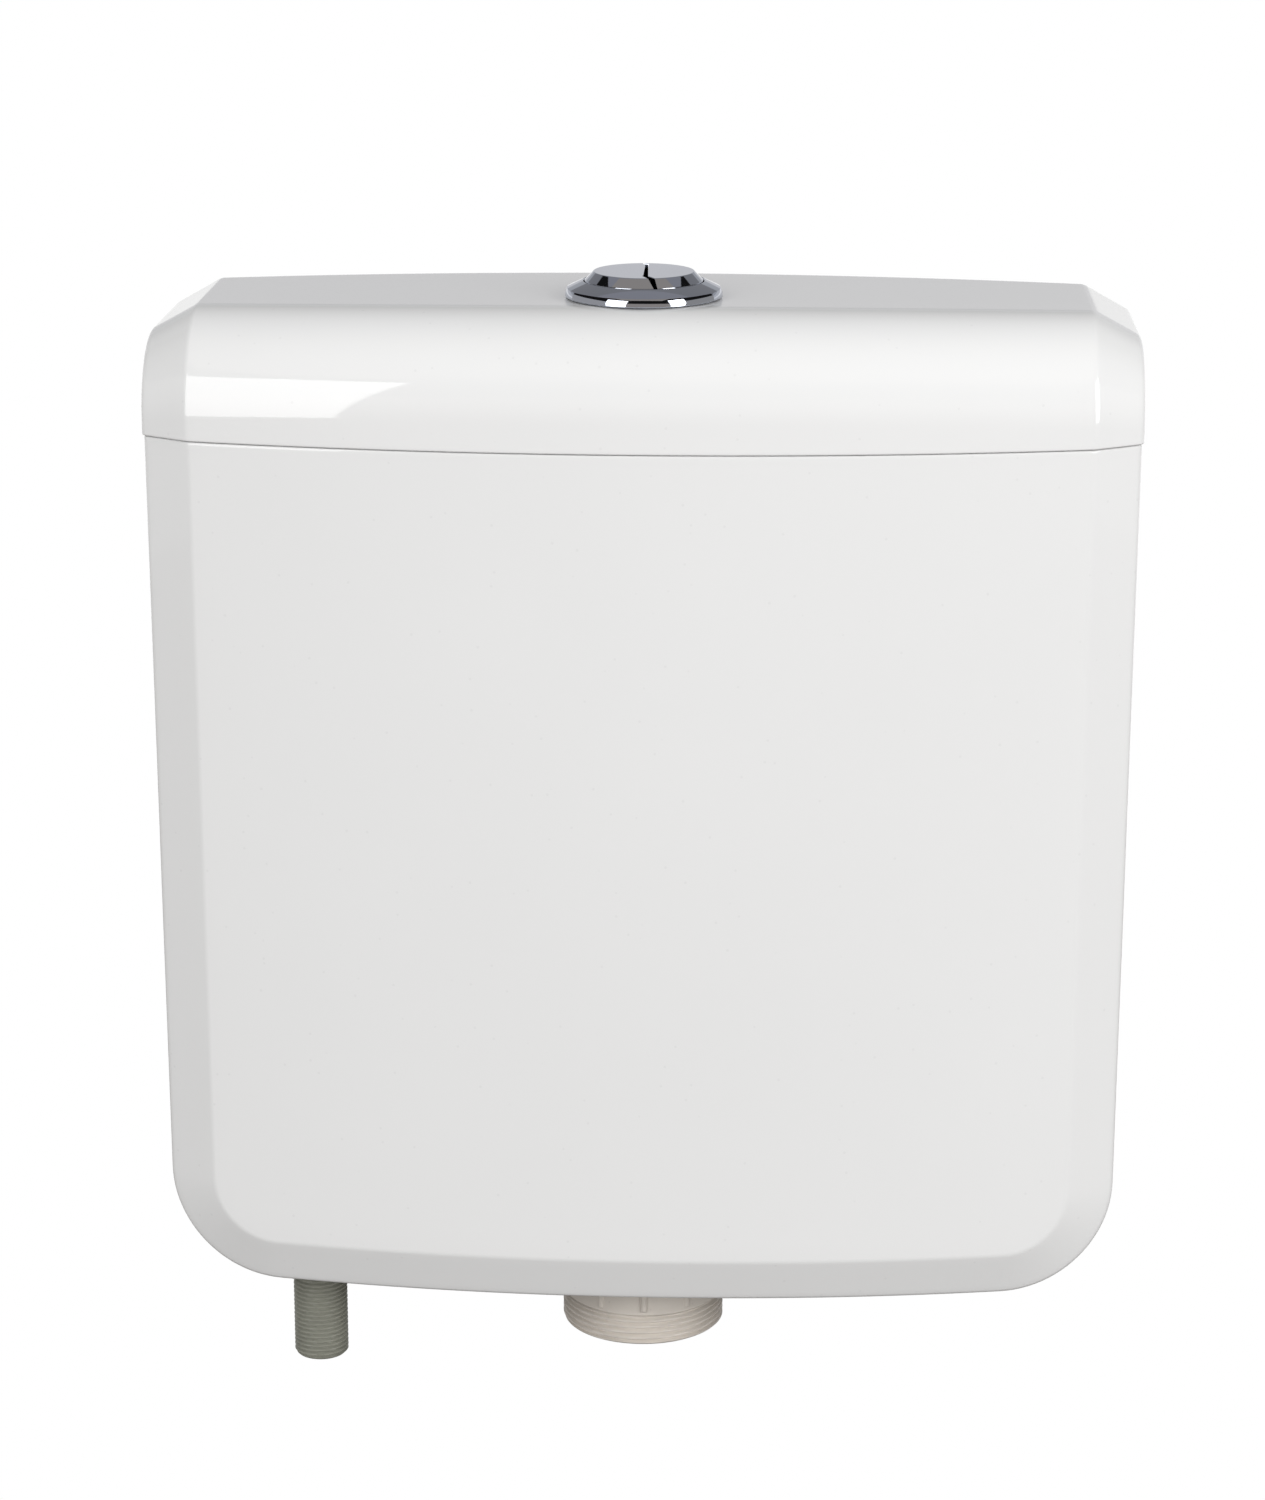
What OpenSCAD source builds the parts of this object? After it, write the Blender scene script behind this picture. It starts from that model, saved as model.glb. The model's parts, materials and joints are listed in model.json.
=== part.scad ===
// Wall-hung toilet cistern: lift-off lid, dual push button, flush valve and bottom-entry fill valve.
// Millimetres, +Z up, +Y into the wall, front towards -Y.
// The origin lies on the wall face, midway between the two wall screw holes.

/* [Tank] */
// Width of the tank at its rim
rim_w = 363; // [340:1:420]
// How much narrower the tank is at its foot
side_draft = 3; // [0:0.5:10]
// Height of the rim above the foot
tank_h = 328; // [300:1:400]
// Depth from the wall to the front at its bevel
corner_depth = 97.5; // [95:0.5:125]
// How far the front bows out at its centre
front_bow = 17.5; // [10:0.5:28]
// How far the front leans back at its foot
front_draft = 2; // [0:0.5:6]
// Wall thickness of the tank
wall = 4; // [3:0.25:5]
// Radius of the two bottom corners
corner_r = 42; // [34:1:56]
// Width of the bevel that frames the front
bevel_w = 18; // [12:0.5:24]
// Depth of that bevel
bevel_d = 7; // [3:0.5:10]

/* [Lid] */
// Height of the lid at its sides, above the rim
lid_h = 45; // [40:1:70]
// Rise of the lid's top at its centre
lid_crown = 3; // [0:0.5:8]
// Radius of the lid's front edge
lid_r = 30; // [24:1:36]
// How far the lid stands proud of the tank
lid_overhang = 0.7; // [0.3:0.1:2]
// Depth of the side bevel on the lid's top
lid_bevel_d = 9.5; // [4:0.5:14]
// Wall thickness of the lid
lid_wall = 3.5; // [2.5:0.25:4.5]
// How far the lid's lip reaches into the tank
lip_depth = 8; // [4:0.5:16]

/* [Wall fixing] */
// Distance between the two wall screw holes
fixing_spacing = 220; // [150:5:260]
// Diameter of the wall screw holes
fixing_hole_d = 8; // [6:0.5:12]
// Distance of the wall screw holes below the rim
fixing_drop = 40; // [30:1:70]

/* [Push button] */
// Diameter of the chrome bezel
bezel_d = 58; // [56:0.5:70]
// Height of the bezel above the lid
bezel_h = 5.9; // [5:0.1:9]
// Diameter of the two buttons together
button_d = 43.5; // [42:0.5:46]
// Diameter of their flat top
button_top_d = 37; // [33:0.5:39]
// Height of the buttons above the bezel
button_rise = 3.3; // [2:0.1:6]
// Gap between the two buttons, at its middle
split_gap = 1.35; // [1:0.05:2]
// Sideways step of the split at the front of the buttons
split_kink = 4.3; // [0:0.1:5]
// Travel of each button
press_travel = 7; // [5:0.5:8]
// Diameter of the push rods
rod_d = 6; // [5:0.25:6.5]

/* [Flush valve] */
// Diameter over the outlet thread
outlet_thread_d = 62.5; // [58:0.5:64]
// How far the outlet reaches below the foot
outlet_drop = 27; // [22:0.5:45]
// Length of the outlet thread
outlet_thread_l = 12; // [9:0.5:18]
// Diameter of the outlet bore
outlet_bore_d = 52; // [46:0.5:53]
// Number of ribs on the smooth band of the outlet
rib_count = 11; // [6:1:16]
// Diameter of the upper thread that holds the valve in the tank
valve_thread_d = 66; // [65.5:0.25:68]
// Outside diameter of the overflow tube
tube_d = 34; // [30:0.5:36]
// Lift of the valve core at a full flush
core_lift = 10; // [8:0.5:12]

/* [Fill valve] */
// Diameter over the inlet thread
inlet_thread_d = 20.955; // [19:0.005:21.5]
// How far the inlet reaches below the foot
inlet_drop = 40.5; // [30:0.5:60]
// Distance of the inlet from the left side of the tank
inlet_edge = 55.5; // [53.5:0.5:70]
// Diameter of the inlet bore
inlet_bore_d = 12; // [9:0.5:13]
// Diameter of the float
float_d = 54; // [46:1:58]
// Height of the float
float_h = 56; // [40:1:70]
// Rise of the float from empty to shut
float_rise = 8; // [5:0.5:9]

/* [Hidden] */
$fn = 96;

// Fits and clearances
seat = 0.3;
running = 0.06;
slide = 0.35;
thread_fit = 0.12;
over = 1;

// Tank frame: heights count from the foot, the wall face is y = 0
valve_y = -(corner_depth + front_bow) / 2;
inlet_forward = 11;
inlet_y = valve_y - inlet_forward;
inlet_offset = rim_w / 2 - inlet_edge;
bow_half = rim_w / 2 - bevel_w;
bevel_soft = 0.06;
crease_w = bevel_soft * bevel_w;
mid_columns = [0.12, 0.24, 0.36, 0.48, 0.6, 0.72, 0.83, 0.93, 1 - crease_w / bow_half, 1];
bevel_columns = [bevel_soft, 0.5, 1];
foot_rows = concat([for (u = [0.02, 0.08, 0.18, 0.3, 0.45, 0.6, 0.78, 1 - bevel_soft, 1]) u * bevel_w],
  [for (v = [0 : 0.25 : 1]) bevel_w + crease_w + (corner_r - bevel_w - crease_w) * v]);

// Nut pockets in the tank floor
pocket_h = 14;
floor_z = pocket_h + wall;
gasket_t = 3;
nut_wall = 7;
nut_r = valve_thread_d / 2 + nut_wall;
pocket_gap = 2.5;
pocket_r = nut_r + pocket_gap;
inlet_r = inlet_thread_d / 2;
inlet_nut_wall = 6;
inlet_nut_r = inlet_r + inlet_nut_wall;
inlet_nut_h = 9;
flute_r = 3.5;
flute_depth = 2;
inlet_pocket_r = inlet_nut_r + pocket_gap;
fixing_z = tank_h - fixing_drop;
fixing_land = 5;
fixing_boss_r = fixing_hole_d / 2 + fixing_land;
fixing_boss_h = 3;

// Lid
lid_z = tank_h + seat;
top_z = tank_h + lid_h + lid_crown;
lip_gap = 0.6;
lip_t = 2.5;
lip_in = wall + lip_gap + lip_t;
ledge_in = 1.2;
ledge_t = 3;
lid_half = rim_w / 2 + lid_overhang;

// Button
button_r = button_d / 2;
button_top_r = button_top_d / 2;
split_front = 1.2;
split_back = 0.38;
split_tongue = -0.85;
shell_t = 1.6;
split_wall = 1.2;
sleeve_bore_r = button_r + slide;
sleeve_t = 1.9;
sleeve_r = sleeve_bore_r + sleeve_t;
bezel_z = top_z + seat;
bezel_seal_t = 1;
bezel_seal_w = 1.1;
bezel_seal_gap = 0.35;
bezel_groove_gap = 0.1;
bezel_ledge = 2;
bezel_ledge_t = 3;
bezel_nut_h = 8;
bezel_nut_wall = 6;
bezel_nut_r = sleeve_r + bezel_nut_wall;
cone_h = 2.7;
nose_foot = 0.4;
nose_low = 2;
nose_high = 28;
nose_arc = (bezel_h - cone_h - nose_foot) / (sin(nose_high) - sin(nose_low));
bezel_top = bezel_z + bezel_h;
cap_t = 2;
button_floor = bezel_top + button_rise - cap_t;
skirt_h = 10;
guide_drop = 32;
guide_z = top_z - guide_drop;
guide_t = 4;
guide_boss_h = 13;
guide_vent_r = 6;
guide_vent_y = 10;
rod_r = rod_d / 2;
rod_x = 9.5;
rod_y = -9;
rod_hole = 0.1;
stem_wall = 1.35;
stem_r = rod_r + stem_wall;
spring_wire = 1;
spring_gap = 0.5;
spring_r = stem_r + spring_gap + spring_wire / 2;
spring_turns = 8;
spring_low = guide_z + guide_t + seat;
spring_high = button_floor - seat;
lid_land_t = 1.2;
lid_ring_gap = 2;
lid_ring_r = bezel_nut_r + lid_ring_gap;
lid_rib_t = 2.5;
lid_rib_h = 6;

// Flush valve
outlet_r = outlet_thread_d / 2;
bore_r = outlet_bore_d / 2;
band_step = 0.6;
band_r = outlet_r - band_step;
rib_r = 1.2;
rib_foot = 1.6;
rib_z = outlet_thread_l - outlet_drop + rib_foot;
shank_r = valve_thread_d / 2;
shank_z = 2;
flange_w = 10;
flange_r = shank_r + flange_w;
flange_z = floor_z + gasket_t;
flange_t = 4.5;
seat_foot = 6;
seat_lip = 3.5;
seat_h = 6.5;
seat_z = flange_z + flange_t + seat_h;
tube_r = tube_d / 2;
tube_wall = 3;
tube_bore_r = tube_r - tube_wall;
basket_in = 2;
basket_r = flange_r - basket_in;
basket_t = 2.5;
basket_low = flange_z + flange_t;
basket_h = 92.5;
basket_top = basket_low + basket_h;
basket_roof = 3;
collar_t = 3;
collar_h = 14;
window_r = 13;
window_sill = 5;
window_low = basket_low + window_sill;
window_h = 32;
post_t = 3;
post_rise = 2;
pivot_drop = 70;
pivot_z = tank_h - pivot_drop;
pivot_y = 4.5;
rocker_tilt = asin(press_travel / (pivot_y - rod_y));
rear_arm = core_lift / sin(rocker_tilt);
pad_h = 3;
pad_end = 4;
rocker_t = 5;
nose_r = 2.5;
hook_gap = 0.5;
hub_r = 4.5;
pin_r = 2;
pin_head = 1.5;
pin_end = 1.8;
rail_gap = 9;
rail_x = tube_r + rail_gap;
rail_t = 3;
rail_reach = 7;
rail_front = -tube_r - rail_reach;
rail_edge = 7;
rail_shoulder = 18;
rail_slope = 27;
web_t = 2.5;
web_drop = 48;
web_frame = 14;
tube_drop = 26;
tube_top = pivot_z - tube_drop;
tube_chamfer = 1;
seal_t = 3;
seal_z = seat_z + seat;
seal_w = 6;
seal_skirt = 4;
plate_t = 2;
port_w = 10;
port_low = 2;
core_float_rise = 24;
float_low = seal_z + seal_t + core_float_rise;
core_float_h = 36;
core_float_gap = 4;
press_fit = 0.1;
stop_rise = 22;
stop_z = basket_top + stop_rise;
stop_t = 3;
sleeve_z = stop_z + seat;
sleeve_h = 24;
yoke_h = 10;
yoke_drop = 16;
yoke_z = tube_top - yoke_drop;
ring_t = 3;
hook_z = pivot_z + nose_r + hook_gap;
hook_t = 3.5;
hook_l = 8;
bar_w = 8;
bar_gap = 2;
bar_y = pivot_y + rear_arm + nose_r + bar_gap;
bar_t = 3.5;
bar_foot = 6;
bar_root = 8;

// Fill valve
riser_wall = 3.5;
riser_r = inlet_bore_d / 2 + riser_wall;
riser_drop = 94;
riser_top = tank_h - riser_drop;
riser_flange_t = 4;
riser_root = 6;
neck_depth = 0.8;
neck_h = 2.5;
head_grip = 10;
head_z = riser_top - head_grip;
head_r = 17;
head_neck = 3;
head_h = 18;
jet_r = 4;
diaphragm_t = 2;
cap_wall = 2;
cap_skirt = 14;
cap_h = 25;
cap_top = head_z + cap_h;
grip_count = 18;
grip_r = 1.6;
grip_depth = 0.8;
lever_x = 9;
lever_rise = 7;
lever_z = cap_top + lever_rise;
lever_t = 2.5;
lever_w = 8;
lever_hub_r = 4;
lever_hub_w = 11.4;
lever_pin_r = 1.75;
ear_y = 7.5;
ear_t = 3;
pilot_r = 1;
pilot_seal_r = 1.6;
pilot_seal_t = 0.5;
link_gap = 4;
link_x = float_d / 2 + link_gap;
link_r = 1.6;
link_foot = 12;
ball_r = 3;
lug_h = 8;
lug_root = 6;
float_edge = 5;
float_gap = 28;
float_bore = 0.7;
float_z = head_z - float_gap - float_h;

// Geometry helpers

function lean(z) = 1 - z / tank_h;
function half_w(z) = (rim_w - side_draft * lean(z)) / 2;
function soft(t) = t >= bevel_soft ? t : t <= -bevel_soft ? 0 : pow(t + bevel_soft, 2) / (4 * bevel_soft);
function arch(x, rise) = abs(x) < bow_half
  ? rise * (1 - pow(x / bow_half, 2)) : -2 * rise * (abs(x) / bow_half - 1);

// Half width of the front outline at height z, drawn in by inset
function outline_w(z, inset) = z >= corner_r ? half_w(z) - inset
  : half_w(z) - corner_r + sqrt(max(0, pow(corner_r - inset, 2) - pow(corner_r - z, 2)));

// Distance from a point of the front to its outline
function edge_gap(x, z) = let (a = abs(x) - half_w(z) + corner_r, b = corner_r - z)
  corner_r - norm([max(a, 0), max(b, 0)]) - min(max(a, b), 0);

function front_y(x, z, inset) = inset - corner_depth + front_draft * lean(z) - arch(x, front_bow)
  + bevel_d * soft(1 - (edge_gap(x, z) - inset) / bevel_w);

// Sample places across a width, closer together over the bevel
function columns(crease, half) = let (side = concat([for (u = mid_columns) crease * u],
  [for (v = bevel_columns) crease + (half - crease) * v]), n = len(side))
  concat([for (k = [1 : n]) -side[n - k]], [0], side);

// Plan section of the tank at height z
function tank_ring(z, inset, at) = let (w = outline_w(z, inset),
  c = min(outline_w(z, inset + bevel_w), w - 2)) concat([[-w, -inset, at]],
  [for (x = columns(c, w)) [x, front_y(x, z, inset), at]], [[w, -inset, at]]);
function plan(inset) = [for (p = tank_ring(tank_h, inset, 0)) [p[0], p[1]]];

// Section of the lid across its depth at x
function lid_ring(x, inset, low) = let (
  t = soft(1 - (lid_half - inset - abs(x)) / bevel_w),
  y = inset - corner_depth - lid_overhang - arch(x, front_bow) + bevel_d * t,
  z = tank_h + lid_h + arch(x, lid_crown) - inset - lid_bevel_d * t,
  r = lid_r - inset - bevel_d * t)
  concat([[x, -inset, low], [x, y, low]],
    [for (a = [0 : 7.5 : 90]) [x, y + r * (1 - cos(a)), z - r * (1 - sin(a))]],
    [[x, -inset, z]]);

// Solid skinned through rings of equal length
module skin(rings) {
  n = len(rings[0]);
  m = len(rings);
  sides = [for (j = [0 : m - 2], i = [0 : n - 1]) let (k = (i + 1) % n)
    each [[j * n + i, j * n + n + k, j * n + k], [j * n + i, j * n + n + i, j * n + n + k]]];
  polyhedron(points = [for (r = rings) each r],
    faces = concat(sides, [[for (i = [0 : n - 1]) i]], [[for (i = [0 : n - 1]) m * n - 1 - i]]),
    convexity = 8);
}

module tube(outer, inner, height) {
  difference() {
    cylinder(r = outer, h = height);
    translate([0, 0, -over]) cylinder(r = inner, h = height + 2 * over);
  }
}

module box(low, high) {
  translate(low) cube(high - low);
}

// Fluted plastic nut with its top face at z = 0
module fluted_nut(outer, inner, height, flutes) {
  difference() {
    translate([0, 0, -height]) cylinder(r = outer, h = height);
    translate([0, 0, -height - over]) {
      cylinder(r = inner, h = height + 2 * over);
      for (k = [0 : flutes - 1]) rotate((k + 0.5) * 360 / flutes)
        translate([outer + flute_r - flute_depth, 0, 0])
        cylinder(r = flute_r, h = height + 2 * over, $fn = 32);
    }
  }
}

module on_valve() {
  translate([0, valve_y, 0]) children();
}

module on_inlet() {
  translate([-inlet_offset, inlet_y, 0]) children();
}

module at_datum() {
  translate([0, 0, -fixing_z]) children();
}

// Tank

module tank_outside() {
  skin(concat([for (k = [0 : len(foot_rows) - 1]) tank_ring(foot_rows[k], 0, k == 0 ? 0 : foot_rows[k])],
    [tank_ring(tank_h, 0, tank_h)]));
}

module tank_inside() {
  rows = [for (h = foot_rows) if (h + wall < corner_r) h + wall];
  skin(concat([for (k = [0 : len(rows) - 1]) tank_ring(rows[k], wall, k == 0 ? wall : rows[k])],
    [tank_ring(corner_r, wall, corner_r), tank_ring(tank_h, wall, tank_h + over)]));
}

module tank() {
  color("white") difference() {
    union() {
      difference() {
        tank_outside();
        tank_inside();
      }
      on_valve() translate([0, 0, 1]) cylinder(r = pocket_r + wall, h = floor_z - 1);
      on_inlet() translate([0, 0, 1.5]) cylinder(r = inlet_pocket_r + wall, h = floor_z - 1.5);
      for (s = [-1, 1]) translate([s * fixing_spacing / 2, -1, fixing_z]) rotate([90, 0, 0])
        cylinder(r = fixing_boss_r, h = wall + fixing_boss_h);
    }
    on_valve() translate([0, 0, -over]) {
      cylinder(r = pocket_r, h = pocket_h + over);
      cylinder(r = shank_r + slide, h = floor_z + 2 * over);
    }
    on_inlet() translate([0, 0, -over]) {
      cylinder(r = inlet_pocket_r, h = pocket_h + over);
      cylinder(r = inlet_r + slide, h = floor_z + 2 * over);
    }
    for (s = [-1, 1]) translate([s * fixing_spacing / 2, over, fixing_z]) rotate([90, 0, 0])
      cylinder(r = fixing_hole_d / 2, h = wall + fixing_boss_h + 3 * over, $fn = 48);
  }
}

// Lid with its button

module lid_outside() {
  skin([for (x = columns(lid_half - bevel_w, lid_half)) lid_ring(-x, 0, lid_z)]);
}

module lid_inside() {
  skin([for (x = columns(lid_half - lid_wall - bevel_w, lid_half - lid_wall))
    lid_ring(-x, lid_wall, tank_h - over)]);
}

// Stiffening rib under the roof of the lid, from the ring round the button to one side
module lid_rib(s) {
  reach = bow_half - 2 * lid_rib_t - lid_ring_r;
  places = [for (u = [0 : 0.25 : 1]) lid_ring_r + lid_rib_t / 2 + reach * u];
  roof = [for (x = places) tank_h + lid_h + arch(x, lid_crown) - lid_wall];
  last = len(places) - 1;
  translate([0, valve_y + lid_rib_t / 2, 0]) rotate([90, 0, 0]) linear_extrude(lid_rib_t) polygon(concat(
    [for (k = [0 : last]) [s * places[k], roof[k] + 1]],
    [for (k = [0 : last]) [s * places[last - k], roof[last - k] - lid_rib_h]]));
}

module lid() {
  color("white") difference() {
    union() {
      difference() {
        lid_outside();
        lid_inside();
      }
      translate([0, 0, lid_z + 0.4]) linear_extrude(ledge_t) difference() {
        polygon(plan(ledge_in));
        polygon(plan(lip_in));
      }
      translate([0, 0, tank_h - lip_depth]) linear_extrude(lip_depth + ledge_t) difference() {
        polygon(plan(wall + lip_gap));
        polygon(plan(lip_in));
      }
      on_valve() translate([0, 0, top_z - lid_wall]) {
        translate([0, 0, -lid_land_t]) cylinder(r = lid_ring_r + lid_rib_t / 2, h = lid_land_t + 1);
        translate([0, 0, -lid_rib_h]) tube(lid_ring_r + lid_rib_t, lid_ring_r, lid_rib_h + 1);
      }
      for (s = [-1, 1]) lid_rib(s);
    }
    on_valve() translate([0, 0, top_z - lid_wall - lid_rib_h - over])
      cylinder(r = sleeve_r + slide, h = lid_wall + lid_rib_h + 2 * over);
  }
}

module bezel() {
  rim = bezel_d / 2;
  guide = guide_z - bezel_z;
  color("silver") on_valve() translate([0, 0, bezel_z]) rotate_extrude() difference() {
    polygon(concat([[sleeve_bore_r - bezel_ledge, guide - bezel_ledge_t], [sleeve_r, guide - bezel_ledge_t],
      [sleeve_r, 0], [rim - nose_foot, 0]],
      [for (u = [0 : 0.2 : 1]) let (a = nose_low + (nose_high - nose_low) * u)
      [rim - nose_arc * (cos(nose_low) - cos(a)), nose_foot + nose_arc * (sin(a) - sin(nose_low))]],
      [[sleeve_bore_r + 0.5, bezel_h - 0.1], [sleeve_bore_r, bezel_h - 0.5], [sleeve_bore_r, guide],
      [sleeve_bore_r - bezel_ledge, guide]]));
    translate([sleeve_r + bezel_seal_gap - bezel_groove_gap, -over])
      square([bezel_seal_w + 2 * bezel_groove_gap, over + bezel_seal_t]);
  }
}

module bezel_seal() {
  color("dimgray") on_valve() translate([0, 0, top_z + 0.15])
    tube(sleeve_r + bezel_seal_gap + bezel_seal_w, sleeve_r + bezel_seal_gap, bezel_seal_t);
}

module bezel_nut() {
  color("whitesmoke") on_valve() translate([0, 0, top_z - lid_wall - lid_land_t - seat])
    fluted_nut(bezel_nut_r, sleeve_r + thread_fit, bezel_nut_h, 12);
}

module button_guide() {
  color("whitesmoke") on_valve() translate([0, 0, guide_z]) difference() {
    union() {
      cylinder(r = sleeve_bore_r - running, h = guide_t);
      for (s = [-1, 1]) translate([s * rod_x, rod_y, 1]) cylinder(r = stem_r, h = guide_boss_h - 1, $fn = 48);
    }
    for (s = [-1, 1]) translate([s * rod_x, rod_y, -over])
      cylinder(r = rod_r + rod_hole, h = guide_boss_h + 2 * over, $fn = 48);
    translate([0, guide_vent_y, -over]) cylinder(r = guide_vent_r, h = guide_t + 2 * over, $fn = 48);
  }
}

// Course of the split beside one button, from front to back: depth, middle and share of the gap
function split_course(s) = let (step = button_top_r * (s > 0 ? 0.87 : 0.835)) [
  [-bezel_d, split_front + split_kink, 1.04], [-button_r, split_front + split_kink, 1.04],
  [-button_top_r, split_front + 0.58 * split_kink, 1.78], [-0.7 * button_top_r, split_front, 1.3],
  [step, split_back, 0.6], [step + 0.015 * button_top_r, split_tongue, 0.26], [bezel_d, split_tongue, 0.26]];

// Plan of one button's side of the split, kept back from it by a wall
module split_side(s, back_by) {
  polygon(concat([for (c = split_course(s)) [c[1] + s * (split_gap * c[2] / 2 + back_by), c[0]]],
    [[s * bezel_d, bezel_d], [s * bezel_d, -bezel_d]]));
}

module push_button(s) {
  low = bezel_top - skirt_h;
  stem_low = guide_z + guide_boss_h + press_travel + 1;
  hollow_back = 0.7 * button_top_r;
  color("silver") on_valve() difference() {
    union() {
      difference() {
        intersection() {
          translate([0, 0, low]) rotate_extrude() polygon([[0, 0], [button_r, 0], [button_r, skirt_h],
            [button_top_r, skirt_h + button_rise], [0, skirt_h + button_rise]]);
          translate([0, 0, low - over]) linear_extrude(skirt_h + button_rise + 2 * over) split_side(s, 0);
        }
        intersection() {
          translate([0, 0, low - over]) cylinder(r = button_r - shell_t - 0.5, h = button_floor - low + over);
          translate([0, 0, low - 2 * over]) linear_extrude(skirt_h + button_rise + 2 * over)
            split_side(s, split_wall);
          box([-button_d, -button_d, low - 2 * over], [button_d, hollow_back, bezel_top + button_rise]);
        }
      }
      translate([s * rod_x, rod_y, stem_low])
        cylinder(r = stem_r, h = button_floor + 0.5 - stem_low, $fn = 48);
    }
    translate([s * rod_x, rod_y, guide_z])
      cylinder(r = rod_r + rod_hole, h = button_floor - guide_z - cap_t, $fn = 48);
  }
}

module full_flush_button() {
  push_button(-1);
}

module half_flush_button() {
  push_button(1);
}

module push_rod(s) {
  tip = pivot_z + pad_h + seat;
  height = button_floor - cap_t - 0.4 - tip;
  color("gainsboro") on_valve() translate([s * rod_x, rod_y, tip]) rotate_extrude($fn = 48)
    polygon(concat([[0, 0]], [for (a = [15 : 15 : 90]) [rod_r * sin(a), rod_r * (1 - cos(a))]],
      [[rod_r, height], [0, height]]));
}

module full_flush_rod() {
  push_rod(-1);
}

module half_flush_rod() {
  push_rod(1);
}

// One unbroken wire, wound from spring_low to spring_high
module return_spring(s) {
  rise = spring_high - spring_low - spring_wire;
  steps = spring_turns * 8;
  pitch = rise / spring_turns;
  echo(least_coil_gap = pitch * cos(atan(pitch / (2 * PI * spring_r))) - spring_wire);
  color("lightgray") on_valve() translate([s * rod_x, rod_y, spring_low + spring_wire / 2])
    skin([for (k = [0 : steps]) [for (j = [0 : 5]) let (a = k * 45, b = j * 60,
      r = spring_r + spring_wire / 2 * cos(b))
      [r * cos(a), r * sin(a), rise * k / steps - spring_wire / 2 * sin(b)]]]);
}

module full_button_spring() {
  return_spring(-1);
}

module half_button_spring() {
  return_spring(1);
}

// Flush valve

module flush_valve_base() {
  color("antiquewhite") on_valve() {
    rotate_extrude() polygon([[bore_r, -outlet_drop], [outlet_r - 1, -outlet_drop],
      [outlet_r, -outlet_drop + 1], [outlet_r, -outlet_drop + outlet_thread_l],
      [band_r, -outlet_drop + outlet_thread_l], [band_r, shank_z],
      [shank_r, shank_z], [shank_r, flange_z], [flange_r, flange_z], [flange_r, flange_z + flange_t],
      [bore_r + seat_foot, flange_z + flange_t], [bore_r + seat_lip, seat_z], [bore_r, seat_z]]);
    for (k = [0 : rib_count - 1]) rotate(-87 + k * 360 / rib_count) translate([band_r, 0, rib_z]) {
      cylinder(r = rib_r, h = shank_z + 1 - rib_z, $fn = 24);
      sphere(r = rib_r, $fn = 24);
    }
  }
}

module flush_valve_gasket() {
  color("dimgray") on_valve() translate([0, 0, floor_z]) tube(flange_r - 1, shank_r + slide, gasket_t);
}

module flush_valve_nut() {
  color("antiquewhite") on_valve() translate([0, 0, pocket_h])
    fluted_nut(nut_r, shank_r + thread_fit, pocket_h - shank_z, 16);
}

module valve_basket() {
  roof = basket_top - basket_roof;
  color("whitesmoke") on_valve() difference() {
    union() {
      translate([0, 0, basket_low]) cylinder(r = basket_r, h = roof - basket_low);
      translate([0, 0, roof - 0.5]) cylinder(r = basket_r - 1, h = basket_roof + 0.5);
      translate([0, 0, roof]) cylinder(r = tube_r + collar_t, h = basket_roof + collar_h);
      for (k = [0 : 5]) rotate(k * 60)
        box([basket_r - basket_t / 2, -post_t / 2, basket_low + over],
          [basket_r + post_rise, post_t / 2, roof - over]);
    }
    translate([0, 0, basket_low - over]) cylinder(r = basket_r - basket_t, h = roof - basket_low + over);
    translate([0, 0, roof - over]) cylinder(r = tube_r + slide, h = basket_roof + collar_h + 2 * over);
    for (k = [0 : 5]) rotate(k * 60 + 30) translate([tube_r, 0, window_low]) rotate([90, 0, 90])
      linear_extrude(basket_r) polygon(concat([[-window_r, 0], [window_r, 0]],
        [for (a = [0 : 15 : 180]) [window_r * cos(a), window_h + window_r * sin(a)]]));
  }
}

module rocker_bracket() {
  low = basket_top;
  high = pivot_z + pin_r + hub_r - 0.5;
  color("whitesmoke") on_valve() difference() {
    union() {
      for (s = [-1, 1]) translate([s > 0 ? rail_x : -rail_x - rail_t, 0, 0]) rotate([90, 0, 90])
        linear_extrude(rail_t) polygon([[rail_front, low], [pivot_y + rail_edge, low],
          [pivot_y + rail_edge, high], [pivot_y - rail_edge, high],
          [pivot_y - rail_edge, pivot_z - rail_shoulder],
          [rail_front, pivot_z - rail_shoulder - rail_slope]]);
      box([-rail_x - 1, rail_front, low], [rail_x + 1, rail_front + web_t, pivot_z - web_drop]);
    }
    box([-rail_x + rail_edge, rail_front - over, low + 2 * web_frame],
      [rail_x - rail_edge, rail_front + web_t + over, pivot_z - web_drop - web_frame]);
    translate([-2 * rail_x, 0, 0]) rotate([90, 0, 90]) linear_extrude(4 * rail_x) polygon([
      [rail_front + rail_edge, low + web_frame], [pivot_y, low + web_frame],
      [pivot_y, pivot_z - rail_shoulder - web_frame],
      [rail_front + rail_edge, pivot_z - rail_shoulder - rail_slope - web_frame / 2]]);
    translate([-2 * rail_x, pivot_y, pivot_z]) rotate([0, 90, 0])
      cylinder(r = pin_r + running, h = 4 * rail_x, $fn = 48);
  }
}

module rocker_pin() {
  color("silver") on_valve() translate([-rail_x - rail_t - pin_end, pivot_y, pivot_z]) rotate([0, 90, 0]) {
    cylinder(r = pin_r, h = 2 * (rail_x + rail_t + pin_end), $fn = 48);
    cylinder(r = pin_r + 1.3, h = pin_head, $fn = 48);
  }
}

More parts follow.
